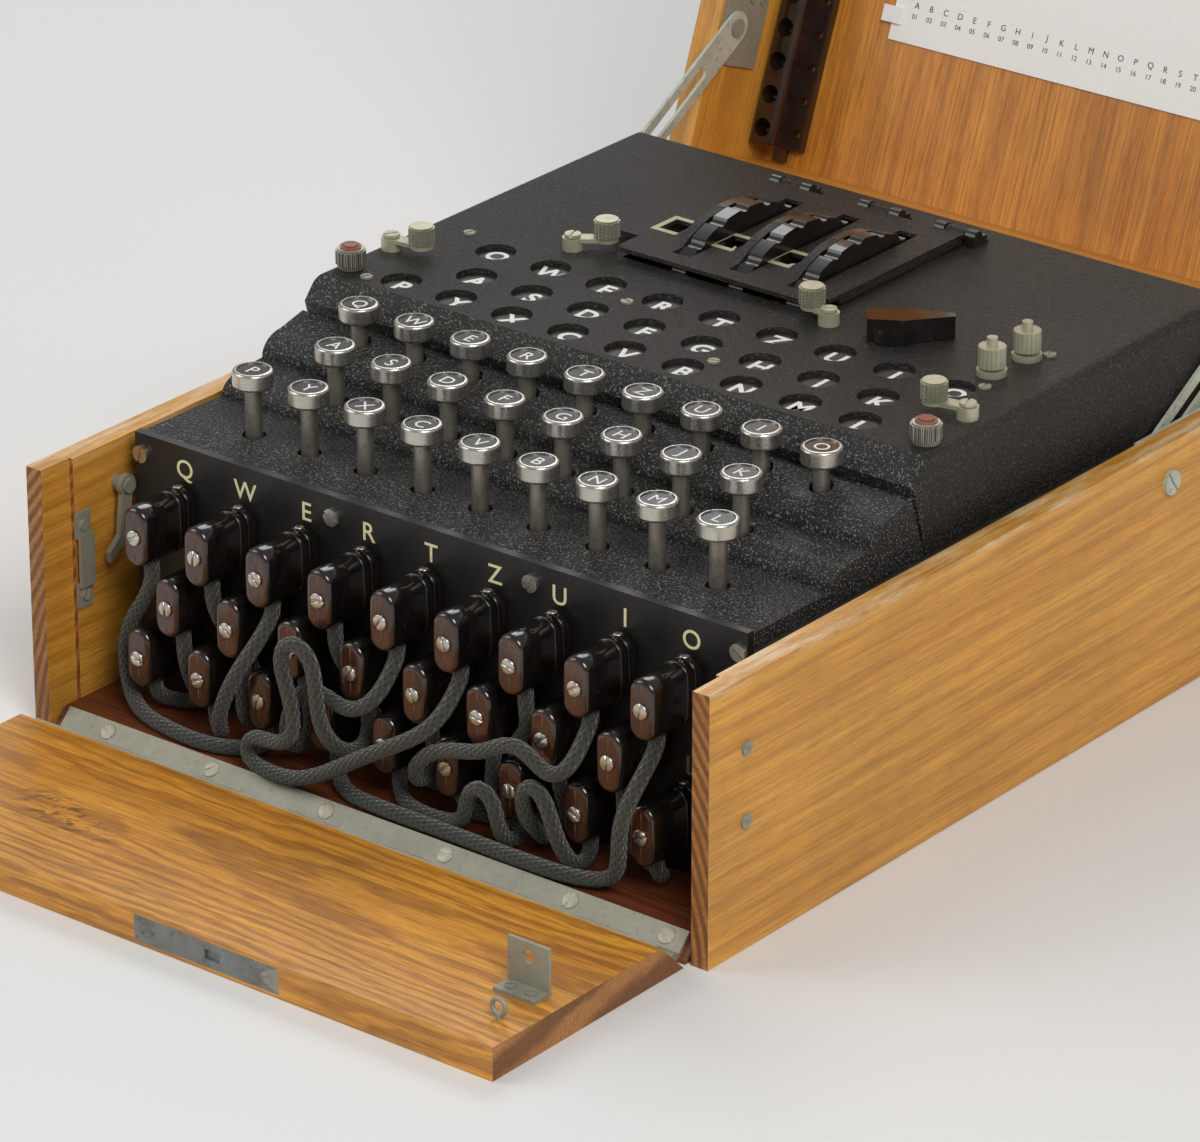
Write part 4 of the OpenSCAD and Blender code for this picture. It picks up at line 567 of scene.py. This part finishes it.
# each enamel's second tone is the colour of its painted glints
coverEnamel = enamelFinish("coarseWrinkleEnamel", (0.0065, 0.0065, 0.0065), (0.26, 0.26, 0.25),
                           wrinkle=0.00095, deep=1.0, rough=0.34, glints=0.8)
deckEnamel = enamelFinish("fineWrinkleEnamel", (0.0085, 0.0076, 0.0055), (0.11, 0.10, 0.075), wrinkle=0.0012,
                          deep=0.95, rough=0.36, glints=0.5, worn=(0.04, 0.033, 0.022))
panelBlack = enamelFinish("smoothBlackPanel", (0.0065, 0.0065, 0.006), (0.03, 0.03, 0.028), wrinkle=0.0016,
                          deep=0.06, rough=0.36, glints=0.2, worn=(0.02, 0.02, 0.019))
steelGrey = enamelFinish("greyChassis", (0.17, 0.17, 0.16), (0.22, 0.22, 0.21), wrinkle=0.002,
                         deep=0.15, rough=0.5, glints=0.3)
bakelite = glossFinish("blackBakelite", (0.006, 0.005, 0.0045), (0.014, 0.01, 0.008))
rotorBlack = glossFinish("wornRotorBlack", (0.005, 0.0045, 0.004), (0.012, 0.009, 0.007), rough=0.34)
brownBakelite = glossFinish("brownBakelite", (0.02, 0.009, 0.006), (0.05, 0.02, 0.01), rough=0.16)
redInlay = glossFinish("redBrownInlay", (0.030, 0.009, 0.005), (0.085, 0.026, 0.012), rough=0.2)
redCap = glossFinish("redCap", (0.20, 0.06, 0.04), (0.36, 0.16, 0.10), rough=0.4)
keyInsert = glossFinish("darkKeyInsert", (0.012, 0.010, 0.008), (0.035, 0.026, 0.018), rough=0.18)
whitePaint = paintFinish("whiteLetters", (0.80, 0.80, 0.76), (0.5, 0.49, 0.44))
creamPaint = paintFinish("creamLetters", (0.80, 0.74, 0.42), (0.45, 0.40, 0.22))
# the cream letter paint darkened for the letters between the plugs: painted shade
shadedCreamPaint = paintFinish("creamLettersInShade", (0.16, 0.15, 0.09), (0.05, 0.045, 0.03))
framePaint = paintFinish("creamFrames", (0.42, 0.42, 0.25), (0.26, 0.25, 0.15))
inkBlack = paintFinish("printInk", (0.02, 0.02, 0.02), (0.06, 0.06, 0.06))
seamRed = paintFinish("seamBrown", (0.17, 0.07, 0.04), (0.10, 0.04, 0.025))
filmDark = paintFinish("lampFilm", (0.018, 0.016, 0.014), (0.04, 0.036, 0.03), rough=0.45)
cardPaper = paintFinish("whiteCard", (0.90, 0.90, 0.88), (0.80, 0.79, 0.75), rough=0.7)
linerBlack = glossFinish("blackHinge", (0.008, 0.008, 0.008), (0.02, 0.02, 0.02), rough=0.3)


# the limits below are millimetres from the case's front and floor
dress("case_fittings", [zinc, stayPaint], lambda face: 1 if 230 < mm(face)[1] < 300 else 0)
dress("flap_fittings", [zinc, lockZinc], lambda face: 1 if mm(face)[1] < -80 and mm(face)[0] < 40 else 0)
for name in ("hook_left", "hook_right", "lid_fittings"):
    dress(name, [zinc])
for name in ("stay_left", "stay_right"):
    dress(name, [stayPaint])
dress("spare_lamp_holder", [brownBakelite])
dress("lid_card", [cardPaper])
dress("plugboard_panel", [panelBlack, nickel, brass],
      lambda face: 1 if mm(face)[1] < 37.15 else 2 if mm(face)[1] > 40.3 else 0)
dress("keyboard_cover", [coverEnamel])
dress("chassis", [steelGrey])
dress("top_cover", [deckEnamel, coverEnamel],
      lambda face: 1 if mm(face)[1] < 134 and mm(face)[2] < 123.4 else 0)
dress("lamp_film", [filmDark])
dress("deck_fittings", [zinc, linerBlack, ivoryMetal],
      lambda face: 1 if mm(face)[1] > 270 and abs(mm(face)[0]) < 60 else 2 if mm(face)[2] > 125.3 else 0)
dress("rotor_cover", [deckEnamel, rotorBlack],
      lambda face: 1 if mm(face)[2] > 129 and mm(face)[1] > 238 else 0)
for name in ("rotor_1", "rotor_2", "rotor_3"):
    dress(name, [rotorBlack])
dress("rotor_shaft", [nickel])

knob = {"places": ((-107.3, 161.6), (-62.5, 205.4), (27.6, 200.5), (106.1, 160.5)), "reach": 7.5, "foot": 130,
        "tones": ((0.55, 0.54, 0.40), (0.38, 0.35, 0.23))}


def onKnob(face, x, back):
    faceX, faceBack, up = mm(face)
    return math.hypot(faceX - x, faceBack - back) < knob["reach"] and up > knob["foot"]


for number, (x, back) in enumerate(knob["places"], 1):
    knurl = knurlFinish(f"creamKnurl{number}", at(x, back, 0), *knob["tones"])
    dress(f"latch_{number}", [knurl, ivoryMetal],
          lambda face, x=x, back=back: 0 if onKnob(face, x, back) else 1)

thumbScrew = {"aside": 119, "back": 138.5, "capFrom": 131.31,
              "tones": ((0.55, 0.54, 0.46), (0.33, 0.31, 0.24))}
for name, side in (("thumb_screw_left", -1), ("thumb_screw_right", 1)):
    knurl = knurlFinish("nickelKnurl_" + name, at(side * thumbScrew["aside"], thumbScrew["back"], 0),
                        *thumbScrew["tones"], straight=True)
    dress(name, [knurl, redCap], lambda face: 1 if mm(face)[2] > thumbScrew["capFrom"] else 0)
dress("power_switch", [bakelite])
print("metal, enamel and plastic dressed")


font = {"capital": 0.72, "thick": 0.04}  # of the built-in letters at size 1
alphabet = "ABCDEFGHIJKLMNOPQRSTUVWXYZ"
proud = 0.05  # millimetres from the ground to the middle of a letter's thickness


def glyph(text, height, thick, bold=0.0):
    # height and thickness in millimetres
    curve = bpy.data.curves.new("glyph", "FONT")
    curve.body = text
    curve.align_x = "CENTER"
    curve.align_y = "CENTER"
    curve.offset = bold
    curve.extrude = font["thick"] / 2
    curve.resolution_u = 4
    holder = bpy.data.objects.new("glyph", curve)
    bpy.context.scene.collection.objects.link(holder)
    bpy.context.view_layer.update()
    mesh = bpy.data.meshes.new_from_object(holder.evaluated_get(bpy.context.evaluated_depsgraph_get()))
    bpy.data.objects.remove(holder)
    low = min(v.co.y for v in mesh.vertices)
    high = max(v.co.y for v in mesh.vertices)
    grow = height / 1000 / font["capital"]
    mesh.transform(Matrix.Translation((0, -(low + high) / 2, 0)))
    mesh.transform(Matrix.Diagonal((grow, grow, thick / 1000 / font["thick"], 1)))
    return mesh


def lettersPiece(name, marks, body, finish):
    bm = bmesh.new()
    for mesh, matrix in marks:
        addMesh(bm, mesh, matrix)
        bpy.data.meshes.remove(mesh)
    newPiece(name, meshOf(bm, name), body, [finish])


keys = {"pitch": 23.9, "back": (61.7, 89.1, 115.1), "top": (118.5, 121.5, 124.7), "sunk": 0.5, "insert": 5.5,
        "near": 0.06, "capHigh": 6.1, "letter": 5.2, "ringOut": 5.15, "ringIn": 4.95, "print": 0.08}


def flatRing(outer, inner, thick):
    bm = bmesh.new()
    bmesh.ops.create_circle(bm, cap_ends=True, segments=40, radius=outer / 1000)
    bmesh.ops.inset_region(bm, faces=bm.faces[:], thickness=(outer - inner) / 1000, use_even_offset=True)
    middle = max(bm.faces, key=lambda face: len(face.verts))
    bmesh.ops.delete(bm, geom=[middle], context="FACES_ONLY")
    up = bmesh.ops.extrude_face_region(bm, geom=bm.faces[:])
    bmesh.ops.translate(bm, vec=(0, 0, thick / 1000), verts=vertsOf(up))
    bmesh.ops.recalc_face_normals(bm, faces=bm.faces)
    return meshOf(bm, "flatRing")


def keyFace(face, top, spot):
    # 0 the cap's ring, 1 the stem, 2 the insert that carries the letter
    far = math.hypot(face.center.x - spot.x, face.center.y - spot.y) * 1000
    up = mm(face)[2]
    if far < keys["insert"] and abs(up - top + keys["sunk"]) < keys["near"]:
        return 2
    return 0 if up > top - keys["capHigh"] else 1


for row, letters in enumerate(rows):
    top = keys["top"][row]
    for place, letter in enumerate(letters):
        spot = at((rowFirst[row] + place) * keys["pitch"], keys["back"][row], top - keys["sunk"])
        dress("key_" + letter, [nickel, stemNickel, keyInsert],
              lambda face, top=top, spot=spot: keyFace(face, top, spot))
        lift = Vector((0, 0, keys["print"] / 2000))
        marks = [(glyph(letter.upper(), keys["letter"], keys["print"]), Matrix.Translation(spot + lift)),
                 (flatRing(keys["ringOut"], keys["ringIn"], keys["print"]), Matrix.Translation(spot))]
        lettersPiece("keyLetter_" + letter, marks, "key_" + letter, whitePaint)

lampWindows = {"pitch": 23.8, "shift": (-3, 2, 5), "back": (140, 159, 180), "film": 122.0, "letter": 7.4,
               "print": 0.08, "bold": 0.03}
marks = []
for row, letters in enumerate(rows):
    for place, letter in enumerate(letters):
        x = (rowFirst[row] + place) * lampWindows["pitch"] + lampWindows["shift"][row]
        marks.append((glyph(letter.upper(), lampWindows["letter"], lampWindows["print"], lampWindows["bold"]),
                      Matrix.Translation(at(x, lampWindows["back"][row], lampWindows["film"] + proud))))
lettersPiece("lampLetters", marks, "case", whitePaint)

panel = {"back": 37.2, "letter": 6.6, "lift": 15.0, "print": 0.12, "bold": 0.004}
stand = Matrix.Rotation(math.radians(90), 4, "X")
# the two lower rows, between the plugs of the row above, take the darkened cream as painted shade
for row, finish in ((2, creamPaint), (1, shadedCreamPaint), (0, shadedCreamPaint)):
    marks = []
    for place, letter in enumerate(rows[row]):
        x, up = plugCentre(row, place)
        marks.append((glyph(letter.upper(), panel["letter"], panel["print"], panel["bold"]),
                      Matrix.Translation(at(x, panel["back"] - proud, up + panel["lift"])) @ stand))
    lettersPiece(f"panelLetters_{row + 1}", marks, "case", finish)

letterRings = {"x": (-50, -26, -2), "axis": (240, 84), "radius": 42.06, "letter": 5.2, "print": 0.08,
               "bold": 0.01, "start": 15, "stagger": 7}
for number, x in enumerate(letterRings["x"]):
    marks = []
    for k in range(len(alphabet)):
        turn = Matrix.Rotation(2 * math.pi * k / len(alphabet) + math.radians(letterRings["start"]), 4, "X")
        letter = alphabet[(k + letterRings["stagger"] * number) % len(alphabet)]
        marks.append((glyph(letter, letterRings["letter"], letterRings["print"], letterRings["bold"]),
                      Matrix.Translation(at(x, *letterRings["axis"])) @ turn
                      @ Matrix.Translation((0, 0, letterRings["radius"] / 1000))))
    lettersPiece(f"rotorLetters_{number + 1}", marks, f"rotor_{number + 1}", whitePaint)

card = {"halfWide": 88, "low": 66, "high": 206, "face": 45.4, "lift": 0.04, "margin": 5, "line": 0.004,
        "pitch": 6.3, "letter": 2.3, "digit": 1.84, "letterRow": 80, "digitRow": 76, "print": 0.05}
cardTurn = Matrix((Vector((1, 0, 0)), lidAlong, -lidDeep)).transposed().to_4x4()


def onCard(x, along):
    return Matrix.Translation(lidHinge + Vector((x / 1000, 0, 0)) + lidAlong * (along / 1000)
                              + lidDeep * ((card["face"] - card["lift"]) / 1000)) @ cardTurn


marks = []
for k, letter in enumerate(alphabet):
    x = (k - (len(alphabet) - 1) / 2) * card["pitch"]
    marks.append((glyph(letter, card["letter"], card["print"]), onCard(x, card["letterRow"])))
    marks.append((glyph(f"{k + 1:02d}", card["digit"], card["print"]), onCard(x, card["digitRow"])))
bm = bmesh.new()
bmesh.ops.create_grid(bm, x_segments=1, y_segments=1, size=0.5)
bmesh.ops.inset_region(bm, faces=bm.faces[:], thickness=card["line"], use_even_offset=True)
bmesh.ops.delete(bm, geom=[max(bm.faces, key=lambda face: face.calc_area())], context="FACES_ONLY")
wide = 2 * (card["halfWide"] - card["margin"]) / 1000
high = (card["high"] - card["low"] - 2 * card["margin"]) / 1000
middle = onCard(0, (card["low"] + card["high"]) / 2)
marks.append((meshOf(bm, "border"), middle @ Matrix.Diagonal((wide, high, 1, 1))))
lettersPiece("cardPrint", marks, "lid", inkBlack)
print("letters made")


plug = {"wide": 10.5, "tall": 21.0, "front": 11.9, "rear": 28.4, "round": 1.7, "inlay": 0.3,
        "collars": ((11.3, 21.5, 28.4, 31.6), (10.5, 20.8, 31.5, 32.3), (11.3, 21.5, 32.2, 36.4)),
        "collarRound": 0.35,
        "seams": ((-8.3, -3.1), (3.1, 8.3)), "seamSize": (0.32, 0.1), "seamAside": 0.2,
        "pins": ((2, 5.5), (3, -5.5)), "pinLong": 8.6, "pinMiddle": 40.6,
        "boss": (1.7, 1.5, 0.4), "bossBack": 33.5, "bossUp": 10.85,
        "screw": 2.7, "screwHigh": 0.9, "slot": 0.55}


def upright(turn=0.0):
    # lays a shape drawn on the floor against the front, after a turn in its own plane
    return Matrix.Rotation(math.radians(90), 3, "X") @ Matrix.Rotation(turn, 3, "Z")


def stadiumBody(wide, tall, front, rear, rounding, segments=3):
    # a block with half-round ends, its long side along Z
    bm = bmesh.new()
    made = bmesh.ops.create_circle(bm, cap_ends=True, segments=24, radius=wide / 2000)
    bmesh.ops.rotate(bm, matrix=upright(), verts=made["verts"])
    for v in made["verts"]:
        v.co.z += math.copysign((tall - wide) / 2000, v.co.z) if abs(v.co.z) > 1e-6 else 0
        v.co.y = rear / 1000
    moved = vertsOf(bmesh.ops.extrude_face_region(bm, geom=bm.faces[:]))
    bmesh.ops.translate(bm, vec=(0, (front - rear) / 1000, 0), verts=moved)
    edges = [e for e in bm.edges if all(v in moved for v in e.verts) and len(e.link_faces) == 2]
    edges = [e for e in edges if e.calc_face_angle(0) > 1]
    bevelEdges(bm, edges, rounding / 1000, segments)
    bmesh.ops.recalc_face_normals(bm, faces=bm.faces)
    return bm


def slottedScrew(radius, high, slot, turn):
    # two half rounds on a plate, facing the front, their base at the origin
    radius, high, slot = radius / 1000, high / 1000, slot / 1000
    bm = bmesh.new()
    for side in (0, 180):
        half = bmesh.new()
        bmesh.ops.create_circle(half, cap_ends=True, segments=20, radius=radius)
        bmesh.ops.bisect_plane(half, geom=half.verts[:] + half.edges[:] + half.faces[:],
                               plane_co=(slot / 2, 0, 0), plane_no=(1, 0, 0), clear_inner=True)
        top = vertsOf(bmesh.ops.extrude_face_region(half, geom=half.faces[:]))
        bmesh.ops.translate(half, vec=(0, 0, high), verts=top)
        bevelEdges(half, [e for e in half.edges if all(v in top for v in e.verts)], high * 0.6)
        bmesh.ops.rotate(half, matrix=Matrix.Rotation(math.radians(side), 3, "Z"), verts=half.verts)
        mesh = meshOf(half, "half")
        bm.from_mesh(mesh)
        bpy.data.meshes.remove(mesh)
    plate = bmesh.ops.create_circle(bm, cap_ends=True, segments=20, radius=radius * 0.97)
    bmesh.ops.translate(bm, vec=(0, 0, high * 0.35), verts=plate["verts"])
    bmesh.ops.rotate(bm, matrix=upright(turn), verts=bm.verts)
    bmesh.ops.recalc_face_normals(bm, faces=bm.faces)
    return bm


def smoothMesh(bm, finish):
    for face in bm.faces:
        face.material_index = finish
        face.smooth = True
    return meshOf(bm, "part")


plugFinishes = [bakelite, redInlay, nickel, seamRed, brass]
inBakelite, inInlay, inNickel, inSeam, inBrass = range(len(plugFinishes))

bm = stadiumBody(plug["wide"], plug["tall"], plug["front"], plug["rear"], plug["round"])
fronts = [f for f in bm.faces if f.normal.y < -0.99]
bmesh.ops.inset_region(bm, faces=fronts, thickness=plug["inlay"] / 1000, use_even_offset=True)
plugBody = smoothMesh(bm, inBakelite)
for face in plugBody.polygons:
    if face.normal.y < -square:
        face.material_index = inInlay
collars = [smoothMesh(stadiumBody(*size, plug["collarRound"], 2), inBakelite) for size in plug["collars"]]

bm = bmesh.new()
for low, high in plug["seams"]:
    bar = bmesh.ops.create_cube(bm, size=1)
    wide, deep = plug["seamSize"]
    bmesh.ops.scale(bm, vec=(wide / 1000, deep / 1000, (high - low) / 1000), verts=bar["verts"])
    bmesh.ops.translate(bm, vec=(plug["seamAside"] / 1000, plug["front"] / 1000, (low + high) / 2000),
                        verts=bar["verts"])
seams = smoothMesh(bm, inSeam)

bm = bmesh.new()
for radius, rise in plug["pins"]:
    pin = bmesh.ops.create_cone(bm, cap_ends=True, segments=16, radius1=radius / 1000, radius2=radius / 1000,
                                depth=plug["pinLong"] / 1000)
    bmesh.ops.rotate(bm, matrix=upright(), verts=pin["verts"])
    bmesh.ops.translate(bm, vec=(0, plug["pinMiddle"] / 1000, rise / 1000), verts=pin["verts"])
pins = smoothMesh(bm, inBrass)

bm = bmesh.new()
foot, head, high = plug["boss"]
bmesh.ops.create_cone(bm, cap_ends=True, segments=20, radius1=foot / 1000, radius2=head / 1000,
                      depth=high / 1000)
bmesh.ops.translate(bm, vec=(0, plug["bossBack"] / 1000, plug["bossUp"] / 1000), verts=bm.verts)
boss = smoothMesh(bm, inNickel)

bm = bmesh.new()
for row, letters in enumerate(rows):
    for place in range(len(letters)):
        x, up = plugCentre(row, place)
        spot = Matrix.Translation(at(x, 0, up))
        slotTurn = 1.1 + 0.9 * place + 2.1 * row  # no two slots stand alike
        screw = smoothMesh(slottedScrew(plug["screw"], plug["screwHigh"], plug["slot"], slotTurn), inNickel)
        for mesh in [plugBody, seams, pins, boss] + collars:
            addMesh(bm, mesh, spot)
        addMesh(bm, screw, spot @ Matrix.Translation((0, plug["front"] / 1000, 0)))
        bpy.data.meshes.remove(screw)
plugSet = newPiece("plugSet", meshOf(bm, "plugSet"), "case", plugFinishes)
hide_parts("patch_plugs")
print("plugs made", len(plugSet.data.polygons))

# heads on the sloping strip between the floor and the flap
stripScrew = {"x": (-110, -65, -16, 33.5, 84, 122), "back": 2.525, "up": 5.406, "slope": -45, "radius": 2.9,
              "high": 0.35, "slot": 0.6}
bm = bmesh.new()
for number, x in enumerate(stripScrew["x"]):
    slotTurn = 0.9 + 1.3 * number
    head = smoothMesh(slottedScrew(stripScrew["radius"], stripScrew["high"], stripScrew["slot"], slotTurn), 0)
    addMesh(bm, head, Matrix.Translation(at(x, stripScrew["back"], stripScrew["up"]))
            @ Matrix.Rotation(math.radians(stripScrew["slope"]), 4, "X"))
    bpy.data.meshes.remove(head)
newPiece("stripScrews", meshOf(bm, "stripScrews"), "case", [paleScrew])
print("screws on the strip made")

# frames round the letter windows, open on their right
windowFrame = {"back": 228, "half": (4.0, 5.0), "bar": 2.1, "bottom": 128.25, "top": 128.45, "pastEnd": 0.5}


def flatBar(bm, x, back, up):
    bar = bmesh.ops.create_cube(bm, size=1)
    size = (x[1] - x[0], back[1] - back[0], up[1] - up[0])
    bmesh.ops.scale(bm, vec=[s / 1000 for s in size], verts=bar["verts"])
    bmesh.ops.translate(bm, vec=at(sum(x) / 2, sum(back) / 2, sum(up) / 2), verts=bar["verts"])


bm = bmesh.new()
for x in letterRings["x"]:
    back, bar, up = windowFrame["back"], windowFrame["bar"], (windowFrame["bottom"], windowFrame["top"])
    wide, deep = windowFrame["half"]
    right = x + wide + windowFrame["pastEnd"]
    flatBar(bm, (x - wide - bar, x - wide), (back - deep - bar, back + deep + bar), up)
    flatBar(bm, (x - wide, right), (back - deep - bar, back - deep), up)
    flatBar(bm, (x - wide, right), (back + deep, back + deep + bar), up)
bmesh.ops.remove_doubles(bm, verts=bm.verts, dist=1e-6)
bmesh.ops.recalc_face_normals(bm, faces=bm.faces)
newPiece("windowFrames", meshOf(bm, "windowFrames"), "rotor_cover", [framePaint])
print("window frames made")


stage = {"floor": (0.80, 0.80, 0.79), "shade": (0.78, 0.78, 0.77), "reach": 6.0, "under": 0.0002,
         "sky": (0.86, 0.87, 0.88), "skyLight": 0.36, "aim": (0, 0, 0.08)}
floorFinish, tree, shader = newFinish("paleFloor", stage["floor"], rough=0.7)
patches = noise(tree, (0.4, 0.4, 0.4), detail=2)
colourOf(tree, shader, ramp(tree, patches, [(0.3, stage["shade"]), (0.7, stage["floor"])]))
bm = bmesh.new()
bmesh.ops.create_grid(bm, x_segments=1, y_segments=1, size=stage["reach"])
bmesh.ops.translate(bm, vec=(0, 0, -stage["under"]), verts=bm.verts)
floor = bpy.data.objects.new("floor", meshOf(bm, "floor"))
floor.data.materials.append(floorFinish)
bpy.context.scene.collection.objects.link(floor)

world = bpy.data.worlds.new("softStudio")
world.use_nodes = True
bpy.context.scene.world = world
sky = world.node_tree.nodes["Background"]
sky.inputs["Color"].default_value = (*stage["sky"], 1)
sky.inputs["Strength"].default_value = stage["skyLight"]

studioLights = {
    "keyFromRight": {"place": (1.6, -1.1, 1.9), "size": 1.3, "power": 38, "tint": (1.0, 0.98, 0.95)},
    "rimFromBack": {"place": (-0.9, 1.5, 1.7), "size": 1.4, "power": 17, "tint": (0.97, 0.98, 1.0)},
    "fillFromLeft": {"place": (-1.6, -1.3, 1.3), "size": 1.4, "power": 13, "tint": (1.0, 0.99, 0.97)},
}
for name, facts in studioLights.items():
    light = bpy.data.lights.new(name, "AREA")
    light.shape = "DISK"
    light.size = facts["size"]
    light.energy = facts["power"]
    light.color = facts["tint"]
    holder = bpy.data.objects.new(name, light)
    holder.location = facts["place"]
    holder.rotation_euler = (Vector(stage["aim"]) - holder.location).to_track_quat("-Z", "Y").to_euler()
    bpy.context.scene.collection.objects.link(holder)
print("floor and light set")
